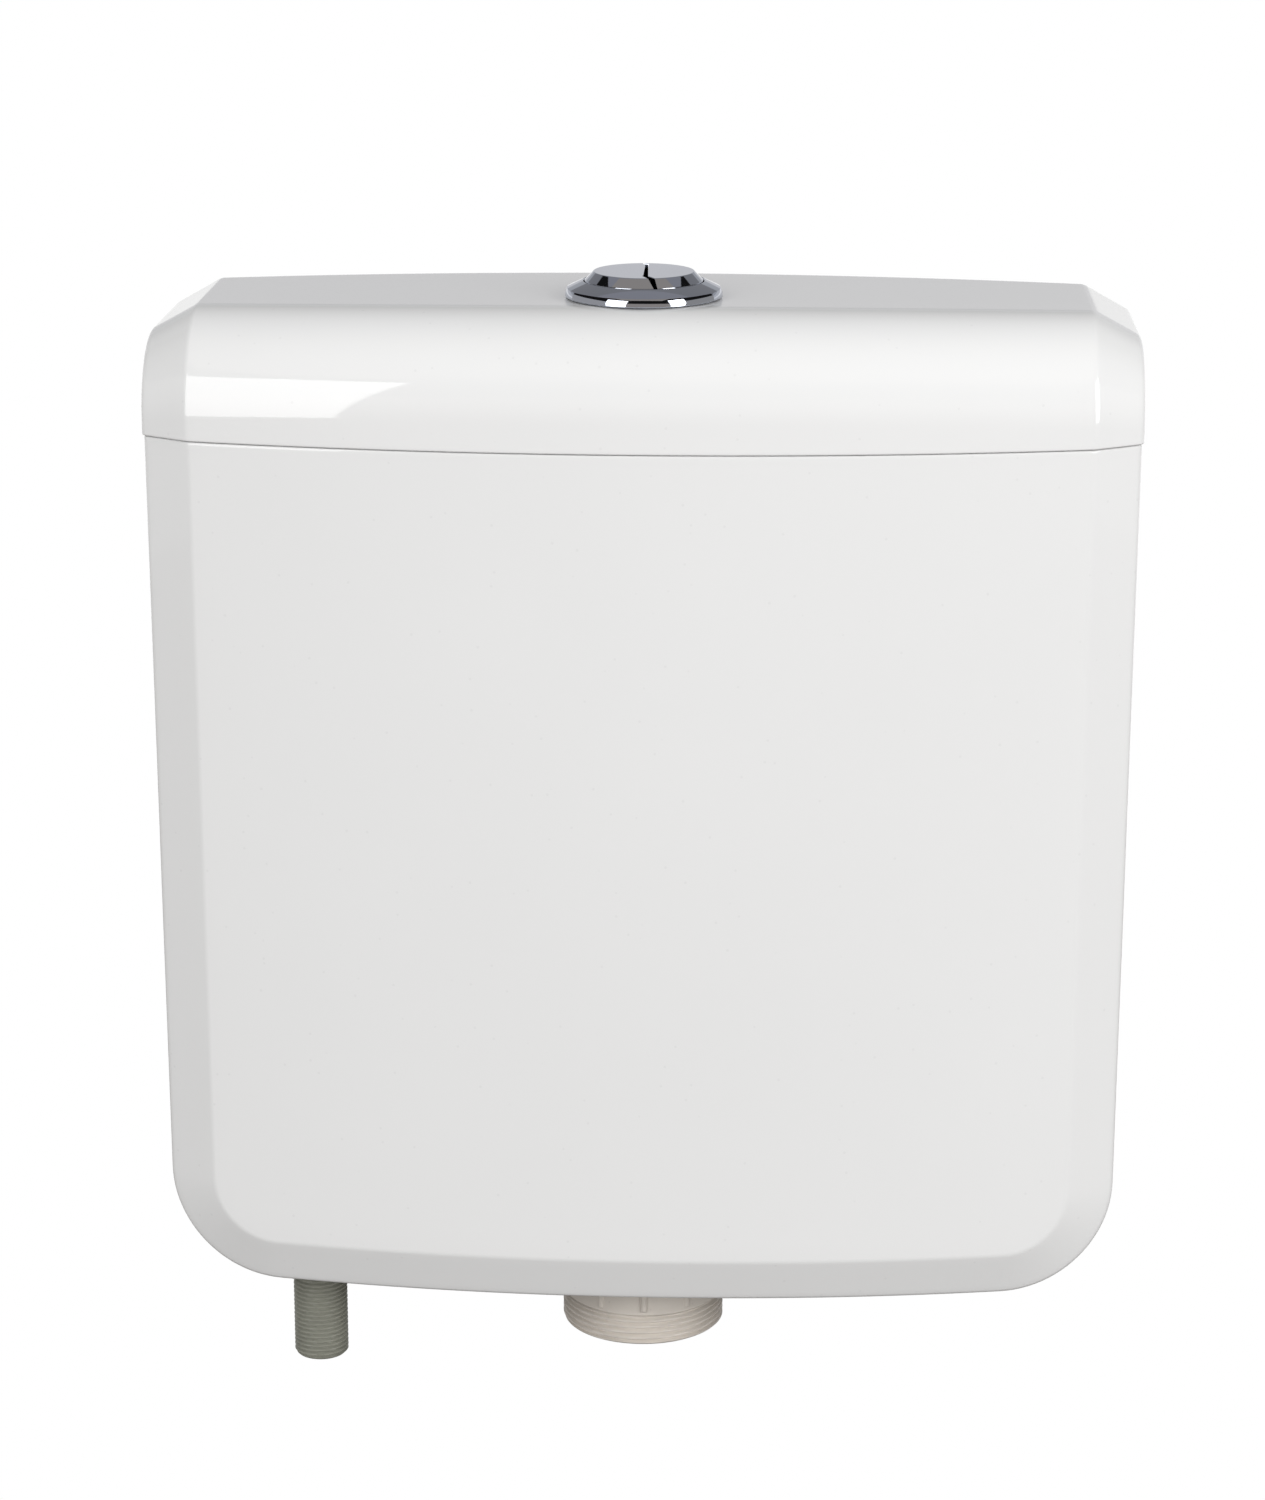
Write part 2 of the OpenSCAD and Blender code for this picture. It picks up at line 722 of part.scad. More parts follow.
module rocker(s) {
  front = rod_y - pivot_y - pad_end;
  color("lightsteelblue") on_valve() translate([0, pivot_y, pivot_z]) difference() {
    union() {
      translate([s > 0 ? 0.4 : -rail_x + 0.3, 0, 0]) rotate([0, 90, 0]) cylinder(r = hub_r, h = rail_x - 0.7);
      translate([s * rod_x - rocker_t / 2, 0, 0]) rotate([90, 0, 90]) linear_extrude(rocker_t) polygon([
        [front, -pad_h / 2], [-2, 0.5 - hub_r], [2, 0.5 - hub_r], [rear_arm, -nose_r], [rear_arm, nose_r],
        [hub_r - 0.5, pad_h], [front, pad_h]]);
      translate([s * rod_x - pad_h, rear_arm, 0]) rotate([0, 90, 0])
        cylinder(r = nose_r, h = 2 * pad_h, $fn = 48);
    }
    translate([-2 * rail_x, 0, 0]) rotate([0, 90, 0]) cylinder(r = pin_r + running, h = 4 * rail_x, $fn = 48);
  }
}

module full_flush_rocker() {
  rocker(-1);
}

module half_flush_rocker() {
  rocker(1);
}

module overflow_tube() {
  flange = seal_z + seal_t;
  color("whitesmoke") on_valve() difference() {
    rotate_extrude() polygon([[tube_bore_r, seat_z - seal_skirt - 1], [tube_r, seat_z - seal_skirt - 1],
      [tube_r, flange], [bore_r + seal_w + 1, flange], [bore_r + seal_w + 1, flange + plate_t],
      [tube_r + 1, flange + 2 * plate_t], [tube_r, flange + 3 * plate_t], [tube_r, tube_top - tube_chamfer],
      [tube_r - tube_chamfer, tube_top], [tube_bore_r + tube_chamfer, tube_top],
      [tube_bore_r, tube_top - tube_chamfer]]);
    for (k = [0 : 3]) rotate(45 + k * 90)
      box([0, -port_w / 2, sleeve_z + port_low], [tube_r + over, port_w / 2, sleeve_z + core_lift - 1]);
  }
}

module main_seal() {
  color("firebrick") on_valve() translate([0, 0, seal_z]) tube(bore_r + seal_w, tube_r + press_fit, seal_t);
}

module seal_retainer() {
  color("whitesmoke") on_valve() translate([0, 0, seat_z - seal_skirt])
    tube(bore_r - 2, tube_r + press_fit, seal_z - seat_z + seal_skirt);
}

module core_float() {
  inner = tube_r + 2 * press_fit;
  outer = basket_r - basket_t - core_float_gap;
  roof = core_float_h - shell_t;
  color("steelblue") on_valve() translate([0, 0, float_low]) rotate_extrude() polygon([[inner, 0],
    [inner + shell_t, 0], [inner + shell_t, roof], [outer - shell_t, roof], [outer - shell_t, 0], [outer, 0],
    [outer, roof], [outer - shell_t, core_float_h], [inner, core_float_h]]);
}

// Ring on the overflow tube with a bar and a hook over one rocker's nose
module lifter(s, low, height, inner) {
  left = s * rod_x - bar_w / 2;
  difference() {
    union() {
      translate([0, 0, low]) cylinder(r = inner + ring_t, h = height);
      box([left, bar_root, low], [left + bar_w, bar_y + bar_t, low + bar_foot]);
      box([left, bar_y, low], [left + bar_w, bar_y + bar_t, hook_z + hook_t]);
      box([left, pivot_y + rear_arm - hook_l, hook_z], [left + bar_w, bar_y + bar_t, hook_z + hook_t]);
    }
    translate([0, 0, low - over]) cylinder(r = inner, h = height + 2 * over);
  }
}

module lift_yoke() {
  color("lightsteelblue") on_valve() lifter(-1, yoke_z, yoke_h, tube_r + press_fit);
}

module half_flush_sleeve() {
  color("seagreen") on_valve() lifter(1, sleeve_z, sleeve_h, tube_r + slide);
}

module sleeve_stop() {
  color("dimgray") on_valve() translate([0, 0, stop_z - stop_t])
    tube(tube_r + 2.5, tube_r + press_fit, stop_t);
}

// Fill valve

module inlet_riser() {
  bore = inlet_bore_d / 2;
  flange = floor_z + gasket_t;
  high = flange + riser_flange_t;
  color("gray") on_inlet() rotate_extrude() polygon([[bore, -inlet_drop], [inlet_r - 1, -inlet_drop],
    [inlet_r, -inlet_drop + 1], [inlet_r, 1], [inlet_r - neck_depth, 1.5],
    [inlet_r - neck_depth, 1.5 + neck_h], [inlet_r, 2 + neck_h], [inlet_r, flange],
    [inlet_pocket_r - 2, flange], [inlet_pocket_r - 2, high],
    [riser_r + 2, high], [riser_r, high + riser_root], [riser_r, riser_top], [bore, riser_top]]);
}

module inlet_gasket() {
  color("dimgray") on_inlet() translate([0, 0, floor_z]) tube(inlet_pocket_r - 3, inlet_r + slide, gasket_t);
}

module inlet_nut() {
  color("gray") on_inlet() translate([0, 0, pocket_h])
    fluted_nut(inlet_nut_r, inlet_r + thread_fit, inlet_nut_h, 8);
}

module inlet_valve_body() {
  inner = riser_r + press_fit;
  shoulder = head_z + head_h / 2;
  color("whitesmoke") on_inlet() rotate_extrude() polygon([[inner, head_z], [head_r - head_neck, head_z],
    [head_r - head_neck, shoulder - head_neck], [head_r, shoulder], [head_r, head_z + head_h],
    [jet_r, head_z + head_h], [jet_r, riser_top + seat], [inner, riser_top + seat]]);
}

module inlet_diaphragm() {
  color("black") on_inlet() translate([0, 0, head_z + head_h]) cylinder(r = head_r - 1, h = diaphragm_t);
}

// Screw cap over the diaphragm, with grip flutes and two ears for the lever
module inlet_valve_cap() {
  outer = head_r + cap_wall;
  low = cap_top - cap_skirt;
  color("steelblue") on_inlet() difference() {
    union() {
      translate([0, 0, low]) cylinder(r = outer, h = cap_skirt);
      for (s = [-1, 1]) translate([lever_x, s * ear_y, 0]) {
        box([-lever_hub_r, -ear_t / 2, cap_top - 2], [lever_hub_r, ear_t / 2, lever_z]);
        translate([0, ear_t / 2, lever_z]) rotate([90, 0, 0]) cylinder(r = lever_hub_r, h = ear_t, $fn = 48);
      }
    }
    translate([0, 0, head_z]) cylinder(r = head_r + 0.15, h = head_h + diaphragm_t + seat);
    cylinder(r = pilot_r, h = cap_top + over, $fn = 24);
    for (k = [0 : grip_count - 1]) rotate(k * 360 / grip_count)
      translate([outer + grip_r - grip_depth, 0, low - over])
      cylinder(r = grip_r, h = cap_skirt - over, $fn = 24);
    translate([lever_x, outer, lever_z]) rotate([90, 0, 0])
      cylinder(r = lever_pin_r + running, h = 2 * outer, $fn = 48);
  }
}

module lever_pin() {
  reach = ear_y + ear_t;
  color("silver") on_inlet() translate([lever_x, reach, lever_z]) rotate([90, 0, 0])
    cylinder(r = lever_pin_r, h = 2 * reach, $fn = 48);
}

module inlet_lever() {
  tail = -lever_x - 3;
  tip = link_x - lever_x + 4;
  color("steelblue") on_inlet() translate([lever_x, 0, lever_z]) difference() {
    union() {
      translate([0, lever_hub_w / 2, 0]) rotate([90, 0, 0])
        cylinder(r = lever_hub_r, h = lever_hub_w, $fn = 48);
      translate([0, lever_w / 2, 0]) rotate([90, 0, 0]) linear_extrude(lever_w) polygon([[tail, -lever_t],
        [tip, -lever_t], [tip, lever_t - 1], [0, lever_t + 1], [tail, lever_t - 1]]);
    }
    translate([0, lever_hub_w, 0]) rotate([90, 0, 0])
      cylinder(r = lever_pin_r + running, h = 2 * lever_hub_w, $fn = 48);
  }
}

module pilot_seal() {
  color("black") on_inlet() translate([0, 0, lever_z - lever_t - pilot_seal_t])
    cylinder(r = pilot_seal_r, h = pilot_seal_t, $fn = 48);
}

module float_cup() {
  inner = riser_r + float_bore;
  outer = float_d / 2;
  color("steelblue") on_inlet() translate([0, 0, float_z]) difference() {
    union() {
      rotate_extrude() polygon(concat([[inner, 0], [inner + shell_t, 0], [inner + shell_t, float_h - shell_t],
        [outer - float_edge, float_h - shell_t], [outer - shell_t, float_h - float_edge],
        [outer - shell_t, 0], [outer, 0]],
        [for (a = [0 : 15 : 90]) [outer - float_edge * (1 - cos(a)), float_h - float_edge * (1 - sin(a))]],
        [[inner, float_h]]));
      box([outer - lug_root, -link_gap, float_h - lug_h], [link_x, link_gap, float_h]);
      translate([link_x, 0, float_h - lug_h]) cylinder(r = link_gap, h = lug_h, $fn = 48);
    }
    translate([link_x, 0, float_h - 2 * lug_h]) cylinder(r = link_r + press_fit, h = 3 * lug_h, $fn = 48);
  }
}

module float_link() {
  high = lever_z - lever_t - seat - ball_r;
  low = float_z + float_h - link_foot;
  color("silver") on_inlet() translate([link_x, 0, low]) {
    cylinder(r = link_r, h = high - low, $fn = 48);
    translate([0, 0, high - low]) sphere(r = ball_r, $fn = 48);
    cylinder(r = link_r + 1.2, h = link_foot - lug_h - 0.1, $fn = 48);
  }
}

module float_stop() {
  color("dimgray") on_inlet() translate([0, 0, float_z - seat - stop_t])
    tube(riser_r + riser_wall, riser_r + press_fit, stop_t);
}

at_datum() tank();
at_datum() lid();
at_datum() bezel();
at_datum() bezel_seal();
at_datum() bezel_nut();
at_datum() button_guide();
at_datum() full_flush_button();
at_datum() half_flush_button();
at_datum() full_flush_rod();
at_datum() half_flush_rod();
at_datum() full_button_spring();
at_datum() half_button_spring();
at_datum() flush_valve_base();
at_datum() flush_valve_gasket();
at_datum() flush_valve_nut();
at_datum() valve_basket();
at_datum() rocker_bracket();
at_datum() rocker_pin();
at_datum() full_flush_rocker();
at_datum() half_flush_rocker();
at_datum() overflow_tube();
at_datum() main_seal();
at_datum() seal_retainer();
at_datum() core_float();
at_datum() lift_yoke();
at_datum() sleeve_stop();
at_datum() half_flush_sleeve();
at_datum() inlet_riser();
at_datum() inlet_gasket();
at_datum() inlet_nut();
at_datum() inlet_valve_body();
at_datum() inlet_diaphragm();
at_datum() inlet_valve_cap();
at_datum() lever_pin();
at_datum() inlet_lever();
at_datum() pilot_seal();
at_datum() float_cup();
at_datum() float_link();
at_datum() float_stop();
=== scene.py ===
"""Looks of a wall-hung toilet cistern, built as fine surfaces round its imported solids."""
import json
import math

import bmesh
import bpy
import numpy as np
from bpy.props import FloatProperty, FloatVectorProperty, IntProperty, PointerProperty
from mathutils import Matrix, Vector


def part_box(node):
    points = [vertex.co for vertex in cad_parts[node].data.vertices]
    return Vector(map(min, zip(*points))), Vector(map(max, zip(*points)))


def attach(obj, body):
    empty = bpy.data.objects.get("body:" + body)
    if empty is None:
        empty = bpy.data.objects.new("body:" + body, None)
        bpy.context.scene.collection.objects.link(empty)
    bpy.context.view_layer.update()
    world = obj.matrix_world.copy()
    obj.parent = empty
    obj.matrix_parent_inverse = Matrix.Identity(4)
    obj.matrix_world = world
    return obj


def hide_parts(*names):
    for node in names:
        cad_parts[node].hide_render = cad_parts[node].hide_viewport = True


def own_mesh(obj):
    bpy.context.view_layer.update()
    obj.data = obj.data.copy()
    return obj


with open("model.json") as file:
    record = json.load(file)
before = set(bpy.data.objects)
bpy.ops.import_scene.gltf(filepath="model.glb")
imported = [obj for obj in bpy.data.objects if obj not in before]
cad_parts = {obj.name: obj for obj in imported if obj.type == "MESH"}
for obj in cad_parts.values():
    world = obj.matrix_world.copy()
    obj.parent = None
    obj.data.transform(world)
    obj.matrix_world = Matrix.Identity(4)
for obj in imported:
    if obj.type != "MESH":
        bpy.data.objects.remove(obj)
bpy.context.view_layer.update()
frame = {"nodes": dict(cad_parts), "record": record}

bl_info = {
    "name": "Wall-hung cistern",
    "version": (1, 0, 0),
    "blender": (4, 5, 0),
    "location": "View3D > Sidebar > Cistern",
    "description": "Dresses the packed cistern with fine surfaces and finishes, light and camera",
    "category": "Object",
}

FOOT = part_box("tank")[0].z
TURN = 2 * math.pi
THREAD_DEPTH = 0.64  # depth of a thread, as a share of its pitch
FINE_MERGE = 1e-6  # distance at which points of finely rounded pieces are merged
RIM_ROUND = 0.0006  # radius along the rims of the tank and lid
EDGE_ROWS = 7  # rows of points over a rounded outer edge


def middle(node):
    """Middle of a node's box, in metres."""
    low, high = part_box(node)
    return (low + high) / 2


def span(node):
    """Size of a node's box, in metres."""
    low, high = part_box(node)
    return high - low


# Points on the upright axes of the flush valve and of the inlet
VALVE = middle("flush_valve_gasket")
INLET = middle("inlet_gasket")


# Settings

def length(name, default, description):
    """A size in metres that the sidebar shows."""
    return FloatProperty(name=name, description=description, default=default, min=0, unit='LENGTH',
                         precision=4)


def number(name, default, least, description):
    """A number of things that the sidebar shows."""
    return IntProperty(name=name, description=description, default=default, min=least)


def colour(name, default, description):
    """A linear colour that the sidebar shows."""
    return FloatVectorProperty(name=name, description=description, default=default, size=3, min=0, max=1,
                               subtype='COLOR')


class CisternSizes(bpy.types.PropertyGroup):
    """Sizes of the fine surfaces. Heights count from the foot of the tank."""
    rim_width: length("Rim width", span("tank").x, "Width of the tank at its rim")
    foot_narrowing: length("Foot narrowing", 0.003, "How much narrower the tank is at its foot")
    rim_height: length("Rim height", span("tank").z, "Height of the rim above the foot")
    corner_depth: length("Corner depth", 0.0975, "Depth from the wall to the front at its bevel")
    front_bow: length("Front bow", 0.0175, "How far the front bows out at its centre")
    front_lean: length("Front lean", 0.002, "How far the front leans back at its foot")
    wall: length("Tank wall", 0.004, "Wall thickness of the tank")
    corner_radius: length("Corner radius", 0.042, "Radius of the two bottom corners")
    bevel_width: length("Bevel width", 0.018, "Width of the bevel that frames the front")
    bevel_depth: length("Bevel depth", 0.007, "Depth of that bevel")
    crease: length("Crease", 0.0011, "Half width of the rounding where the bevel meets the front")
    edge_round: length("Edge rounding", 0.0016, "Radius along the outer edges")
    lid_height: length("Lid height", 0.045, "Height of the lid at its sides, above the rim")
    lid_crown: length("Lid crown", 0.003, "Rise of the lid's top at its centre")
    lid_radius: length("Lid radius", 0.036, "Radius of the lid's front edge")
    lid_overhang: length("Lid overhang", 0.0007, "How far the lid stands proud of the tank")
    lid_bevel_depth: length("Lid bevel depth", 0.0095, "Depth of the side bevel on the lid's top")
    lid_wall: length("Lid wall", 0.0035, "Wall thickness of the lid")
    lip_depth: length("Lip depth", 0.008, "How far the lid's lip reaches into the tank")
    seam: length("Seam", 0.0003, "Gap between the tank and the lid")
    bezel_width: length("Bezel width", span("bezel").x, "Diameter of the chrome bezel")
    button_width: length("Button width", 0.0435, "Diameter of the two buttons together")
    button_top: length("Button top", 0.037, "Diameter of their flat top")
    split_gap: length("Split gap", 0.00135, "Gap between the two buttons, at its middle")
    split_kink: length("Split kink", 0.0043, "Sideways step of the split at the front of the buttons")
    outlet_pitch: length("Outlet pitch", 0.002309, "Pitch of the outlet thread")
    inlet_pitch: length("Inlet pitch", 0.001814, "Pitch of the inlet thread")
    outlet_ribs: number("Outlet ribs", 11, 3, "Ribs on the smooth band of the outlet")
    spring_wire: length("Spring wire", 0.001, "Wire of the two return springs")
    spring_turns: number("Spring turns", 9, 4, "Turns of the two return springs")


class CisternColours(bpy.types.PropertyGroup):
    """Colours of the finishes, linear."""
    gloss_white: colour("Gloss white", (0.815, 0.815, 0.812), "Tank and lid")
    chrome: colour("Chrome", (0.52, 0.545, 0.605), "Bezel and buttons")
    cream: colour("Cream", (0.63, 0.585, 0.53), "Outlet")
    grey_green: colour("Grey green", (0.26, 0.262, 0.22), "Inlet")
    inner_white: colour("Inner white", (0.74, 0.74, 0.73), "White pieces of the two valves")
    blue: colour("Blue", (0.06, 0.2, 0.5), "Full flush and fill valve pieces")
    green: colour("Green", (0.07, 0.36, 0.16), "Half flush pieces")
    rubber: colour("Rubber", (0.022, 0.022, 0.023), "Gaskets")
    silicone: colour("Silicone", (0.5, 0.05, 0.035), "Main seal")
    steel: colour("Steel", (0.58, 0.58, 0.57), "Springs, pins and link")


# Surfaces

def grid_faces(rows, cols, wrap_rows=False, wrap_cols=False):
    """Quads of a grid of points numbered row by row; a wrapped side closes on itself."""
    i = np.arange(rows if wrap_rows else rows - 1)[:, None]
    j = np.arange(cols if wrap_cols else cols - 1)[None, :]
    down, right = (i + 1) % rows, (j + 1) % cols
    corners = np.broadcast_arrays(i * cols + j, i * cols + right, down * cols + right, down * cols + j)
    return np.stack(corners, -1).reshape(-1, 4)


def new_piece(name, patches, rings=(), merge=2e-6):
    """One object from point grids. Each patch is (points, wrap rows, wrap columns), and each ring is one flat
    polygon's points. Points that meet are merged, and the faces turned outwards."""
    points, quads, polygons, count = [], [], [], 0
    for grid, wrap_rows, wrap_cols in patches:
        rows, cols = grid.shape[:2]
        quads.append(grid_faces(rows, cols, wrap_rows, wrap_cols) + count)
        points.append(grid.reshape(-1, 3))
        count += rows * cols
    for ring in rings:
        polygons.append(np.arange(len(ring)) + count)
        points.append(ring)
        count += len(ring)
    quads = np.concatenate(quads)
    loops = np.concatenate([quads.ravel()] + polygons)
    sizes = np.concatenate([np.full(len(quads), 4)] + [[len(p)] for p in polygons]).astype(np.int32)
    mesh = bpy.data.meshes.new(name)
    mesh.vertices.add(count)
    mesh.vertices.foreach_set("co", np.concatenate(points).astype(np.float32).ravel())
    mesh.loops.add(len(loops))
    mesh.loops.foreach_set("vertex_index", loops.astype(np.int32))
    mesh.polygons.add(len(sizes))
    mesh.polygons.foreach_set("loop_start", np.concatenate([[0], np.cumsum(sizes)[:-1]]).astype(np.int32))
    mesh.update(calc_edges=True)
    mesh.validate()
    clean(mesh, merge)
    piece = bpy.data.objects.new(name, mesh)
    bpy.context.scene.collection.objects.link(piece)
    return piece


def clean(mesh, merge, outwards=True):
    """Merges points that meet, drops faces without area and, if asked, turns the rest outwards."""
    work = bmesh.new()
    work.from_mesh(mesh)
    bmesh.ops.remove_doubles(work, verts=work.verts, dist=merge)
    bmesh.ops.dissolve_degenerate(work, edges=work.edges, dist=merge)
    if outwards:
        bmesh.ops.recalc_face_normals(work, faces=work.faces)
    work.to_mesh(mesh)
    work.free()


def smooth(piece, degrees=30):
    """Smooth shading that breaks at edges sharper than the angle."""
    piece.data.shade_smooth()
    piece.data.set_sharp_from_angle(angle=math.radians(degrees))


def carve(piece, tool, operation):
    """Joins a closed tool to a piece, or cuts it away, and cleans the piece of slivers."""
    modifier = piece.modifiers.new("carve", 'BOOLEAN')
    modifier.operation, modifier.solver, modifier.object = operation, 'EXACT', tool
    with bpy.context.temp_override(object=piece, active_object=piece, selected_objects=[piece]):
        bpy.ops.object.modifier_apply(modifier=modifier.name)
    bpy.data.objects.remove(tool)
    clean(piece.data, 5e-6, outwards=False)


def round_off(corners, radii, steps):
    """A closed profile with each corner replaced by an arc of its radius. The arc runs between the two points
    where a circle of that radius touches both sides."""
    p = np.array(corners, float)
    r = np.maximum(np.array(radii, float), 1e-7)[:, None]
    a, b = np.roll(p, 1, 0) - p, np.roll(p, -1, 0) - p
    a /= np.linalg.norm(a, axis=1)[:, None]
    b /= np.linalg.norm(b, axis=1)[:, None]
    half = np.arccos(np.clip((a * b).sum(1), -1, 1))[:, None] / 2
    centre = p + (a + b) / np.linalg.norm(a + b, axis=1)[:, None] * r / np.sin(half)
    first, last = p + a * r / np.tan(half) - centre, p + b * r / np.tan(half) - centre
    turn = (math.pi - 2 * half)[:, None]
    k = np.linspace(0, 1, steps)[None, :, None]
    arc = (np.sin((1 - k) * turn) * first[:, None] + np.sin(k * turn) * last[:, None]) / np.sin(turn)
    return (centre[:, None] + arc).reshape(-1, 2)


def refine(profile, spacing, inner, top):
    """A closed profile with more points on the stretches outside the inner radius and under the top: each is
    divided evenly, at about the spacing."""
    rows = [profile[:1]]
    for a, b in zip(profile, np.roll(profile, -1, 0)):
        fine = max(a[1], b[1]) < top and a[0] > inner
        steps = max(1, int(np.linalg.norm(b - a) / spacing)) if fine else 1
        rows.append(a + (b - a) * np.linspace(0, 1, steps + 1)[1:, None])
    return np.concatenate(rows)[:-1]


def xyz(x, y, z):
    """A grid of points from three coordinates, each stretched to the whole grid."""
    return np.stack(np.broadcast_arrays(x, y, z), -1)


def around(radius, height, centre, angles):
    """Points about a vertical axis through centre, one row for each angle: the radius times the angle's cosine
    and sine gives x and y."""
    a = angles[:, None]
    return xyz(centre.x + radius * np.cos(a), centre.y + radius * np.sin(a), height)


def turned(profile, centre, angles):
    """A profile of (radius, height) pairs carried round a vertical axis through centre."""
    return around(profile[:, 0], profile[:, 1], centre, angles)


def full_turn(steps):
    """Angles once round, the last one left out."""
    return np.arange(steps) * TURN / steps


def drum(name, centre, radius, low, high):
    """A closed cylinder about a vertical axis, as a tool."""
    profile = np.array([[0, low], [radius, low], [radius, high], [0, high]])
    return new_piece(name, [(turned(profile, centre, full_turn(128)), True, False)])


def plug(name, x, z, radius, near, far):
    """A closed cylinder along the depth, as a tool."""
    a = full_turn(64)[:, None]
    r, y = np.array([0, radius, radius, 0]), np.array([near, near, far, far])
    return new_piece(name, [(xyz(x + r * np.cos(a), y, z + r * np.sin(a)), True, False)])


# Shape of the tank and lid

def soft(t, s):
    """A ramp that starts at zero, with its crease rounded: t above s, zero below -s, and a parabola between."""
    return np.where(t >= s, t, np.where(t <= -s, 0, (t + s) ** 2 / (4 * s)))


def fall(d, r):
    """How far an edge of radius r has fallen back at distance d from the outline: a quarter circle."""
    return r - np.sqrt(np.maximum(0, r * r - np.maximum(0, r - d) ** 2))


def lean(sz, h):
    """One at the foot, zero at the rim."""
    return 1 - h / sz.rim_height


def half_width(sz, h):
    """Half the tank's width at height h, drawn in evenly towards the foot."""
    return (sz.rim_width - sz.foot_narrowing * lean(sz, h)) / 2


def arch(sz, x, rise):
    """A parabola that rises at the centre and runs on straight beyond the bevel."""
    half = sz.rim_width / 2 - sz.bevel_width
    u = np.abs(x) / half
    return np.where(u < 1, rise * (1 - u * u), -2 * rise * (u - 1))


def bevel_rows(sz, steps):
    """Distances in from the outline at which rows cross the bevel, close together over the rounded outer edge
    and over the crease. The first EDGE_ROWS are those over the edge."""
    curl = sz.edge_round * (1 - np.sin(np.linspace(math.pi / 2, 0, EDGE_ROWS)))
    crease = sz.bevel_width + sz.crease * np.array([-1, -0.6, -0.2, 0.2, 0.6, 1])
    return np.concatenate([curl, np.linspace(sz.edge_round, crease[0], steps)[1:-1], crease])


def outline(sz, inset, top, side=64, corner=24, foot=72):
    """The front outline drawn in by inset, down the left side, round the foot and up the right side, as (x,
    height) grids with one column for each inset. The corners are quarter circles about fixed centres. Also the
    row in the middle of a corner."""
    e = np.atleast_1d(inset)[None, :]
    r, first_row = sz.corner_radius, 0.0008
    h_side = np.concatenate([[top], np.linspace(top - first_row, r, side - 1)])[:, None] + 0 * e
    x_side = half_width(sz, h_side) - e
    a = np.linspace(0, math.pi / 2, corner + 1)[1:, None]
    h_arc = r - (r - e) * np.sin(a)
    x_arc = half_width(sz, h_arc) - r + (r - e) * np.cos(a)
    f = np.linspace(-1, 1, foot + 1)[1:-1, None]
    x_foot = f * (half_width(sz, e) - r)
    x_left, h_left = np.concatenate([-x_side, -x_arc]), np.concatenate([h_side, h_arc])
    return (np.concatenate([x_left, x_foot, -x_left[::-1]]),
            np.concatenate([h_left, e + 0 * x_foot, h_left[::-1]]), side + corner // 2)


def shares(line):
    """Share of the way along a line of points, by length: zero at its first point and one at its last."""
    step = np.concatenate([[0], np.cumsum(np.linalg.norm(np.diff(line, axis=0), axis=1))])
    return step / step[-1]


def filled(x, h, split):
    """A patch inside a U-shaped edge: sides, foot and straight top are blended, each point being the sum of the
    two straight mixes of opposite edges less the mix of the four corners."""
    edge = np.stack([x, h], -1)
    a, b, c = edge[:split], edge[len(x) - split:][::-1], edge[split - 1:len(x) - split + 1]
    u, v = shares(c)[None, :, None], shares(a)[:, None, None]
    top = a[0] * (1 - u) + b[0] * u
    corners = (1 - v) * ((1 - u) * a[0] + u * b[0]) + v * ((1 - u) * c[0] + u * c[-1])
    grid = (1 - v) * top + v * c[None] + (1 - u) * a[:, None] + u * b[:, None] - corners
    return grid[..., 0], grid[..., 1]


def front(sz, x, h, gap, inset):
    """Depth of the front: bowed across, leaning back to the foot, falling back over the bevel and round its
    outer edge."""
    t = 1 - (gap - inset) / sz.bevel_width
    return (inset - sz.corner_depth + sz.front_lean * lean(sz, h) - arch(sz, x, sz.front_bow)
            + sz.bevel_depth * soft(t, sz.crease / sz.bevel_width) + fall(gap - inset, sz.edge_round))


def bag(sz, inset, top):
    """The tank's skin drawn in by inset and open at the top, as patches: front band, front, sides, back band and
    back. Also its top edge, once round."""
    rows, inner = bevel_rows(sz, 9), sz.bevel_width * 1.45
    gap = inset + np.append(rows, inner)
    x, h, split = outline(sz, gap, top)
    band = xyz(x, front(sz, x, h, gap[None, :], inset), h)
    x_in, h_in = filled(x[:, -1], h[:, -1], split)
    face = xyz(x_in, front(sz, x_in, h_in, gap[-1], inset), h_in)
    back_gap = inset + np.append(rows[:EDGE_ROWS], inner)
    x, h, split = outline(sz, back_gap, top)
    back_band = xyz(x, -inset - fall(back_gap - inset, sz.edge_round), h)
    x_in, h_in = filled(x[:, -1], h[:, -1], split)
    back = xyz(x_in, -inset, h_in)
    k = np.linspace(0, 1, 9)[None, :, None]
    sides = band[:, :1] * (1 - k) + back_band[:, :1] * k
    edge = np.concatenate([back_band[0, :0:-1], sides[0, :0:-1], band[0, :-1], face[0, :-1], band[-1, :0:-1],
                           sides[-1, :-1], back_band[-1, :-1], back[0, :0:-1]])
    return [band, face, sides, back_band, back], edge


def rim_between(outer, inner, rise, radius):
    """The rim from one edge to the other: straight across, with both corners rounded to the radius and lifted
    by rise."""
    width = np.linalg.norm(outer - inner, axis=1).min()
    a = np.linspace(0, math.pi / 2, 6)
    f = np.concatenate([radius * (1 - np.cos(a)), width - radius * (1 - np.cos(a[::-1]))]) / width
    up = np.concatenate([np.sin(a), np.sin(a[::-1])]) * rise
    grid = outer[None] + (inner - outer)[None] * f[:, None, None]
    grid[..., 2] += up[:, None]
    return grid


def at_foot(grid):
    """Points whose heights count from the foot, moved into the shared frame."""
    return grid + np.array([0, 0, FOOT])


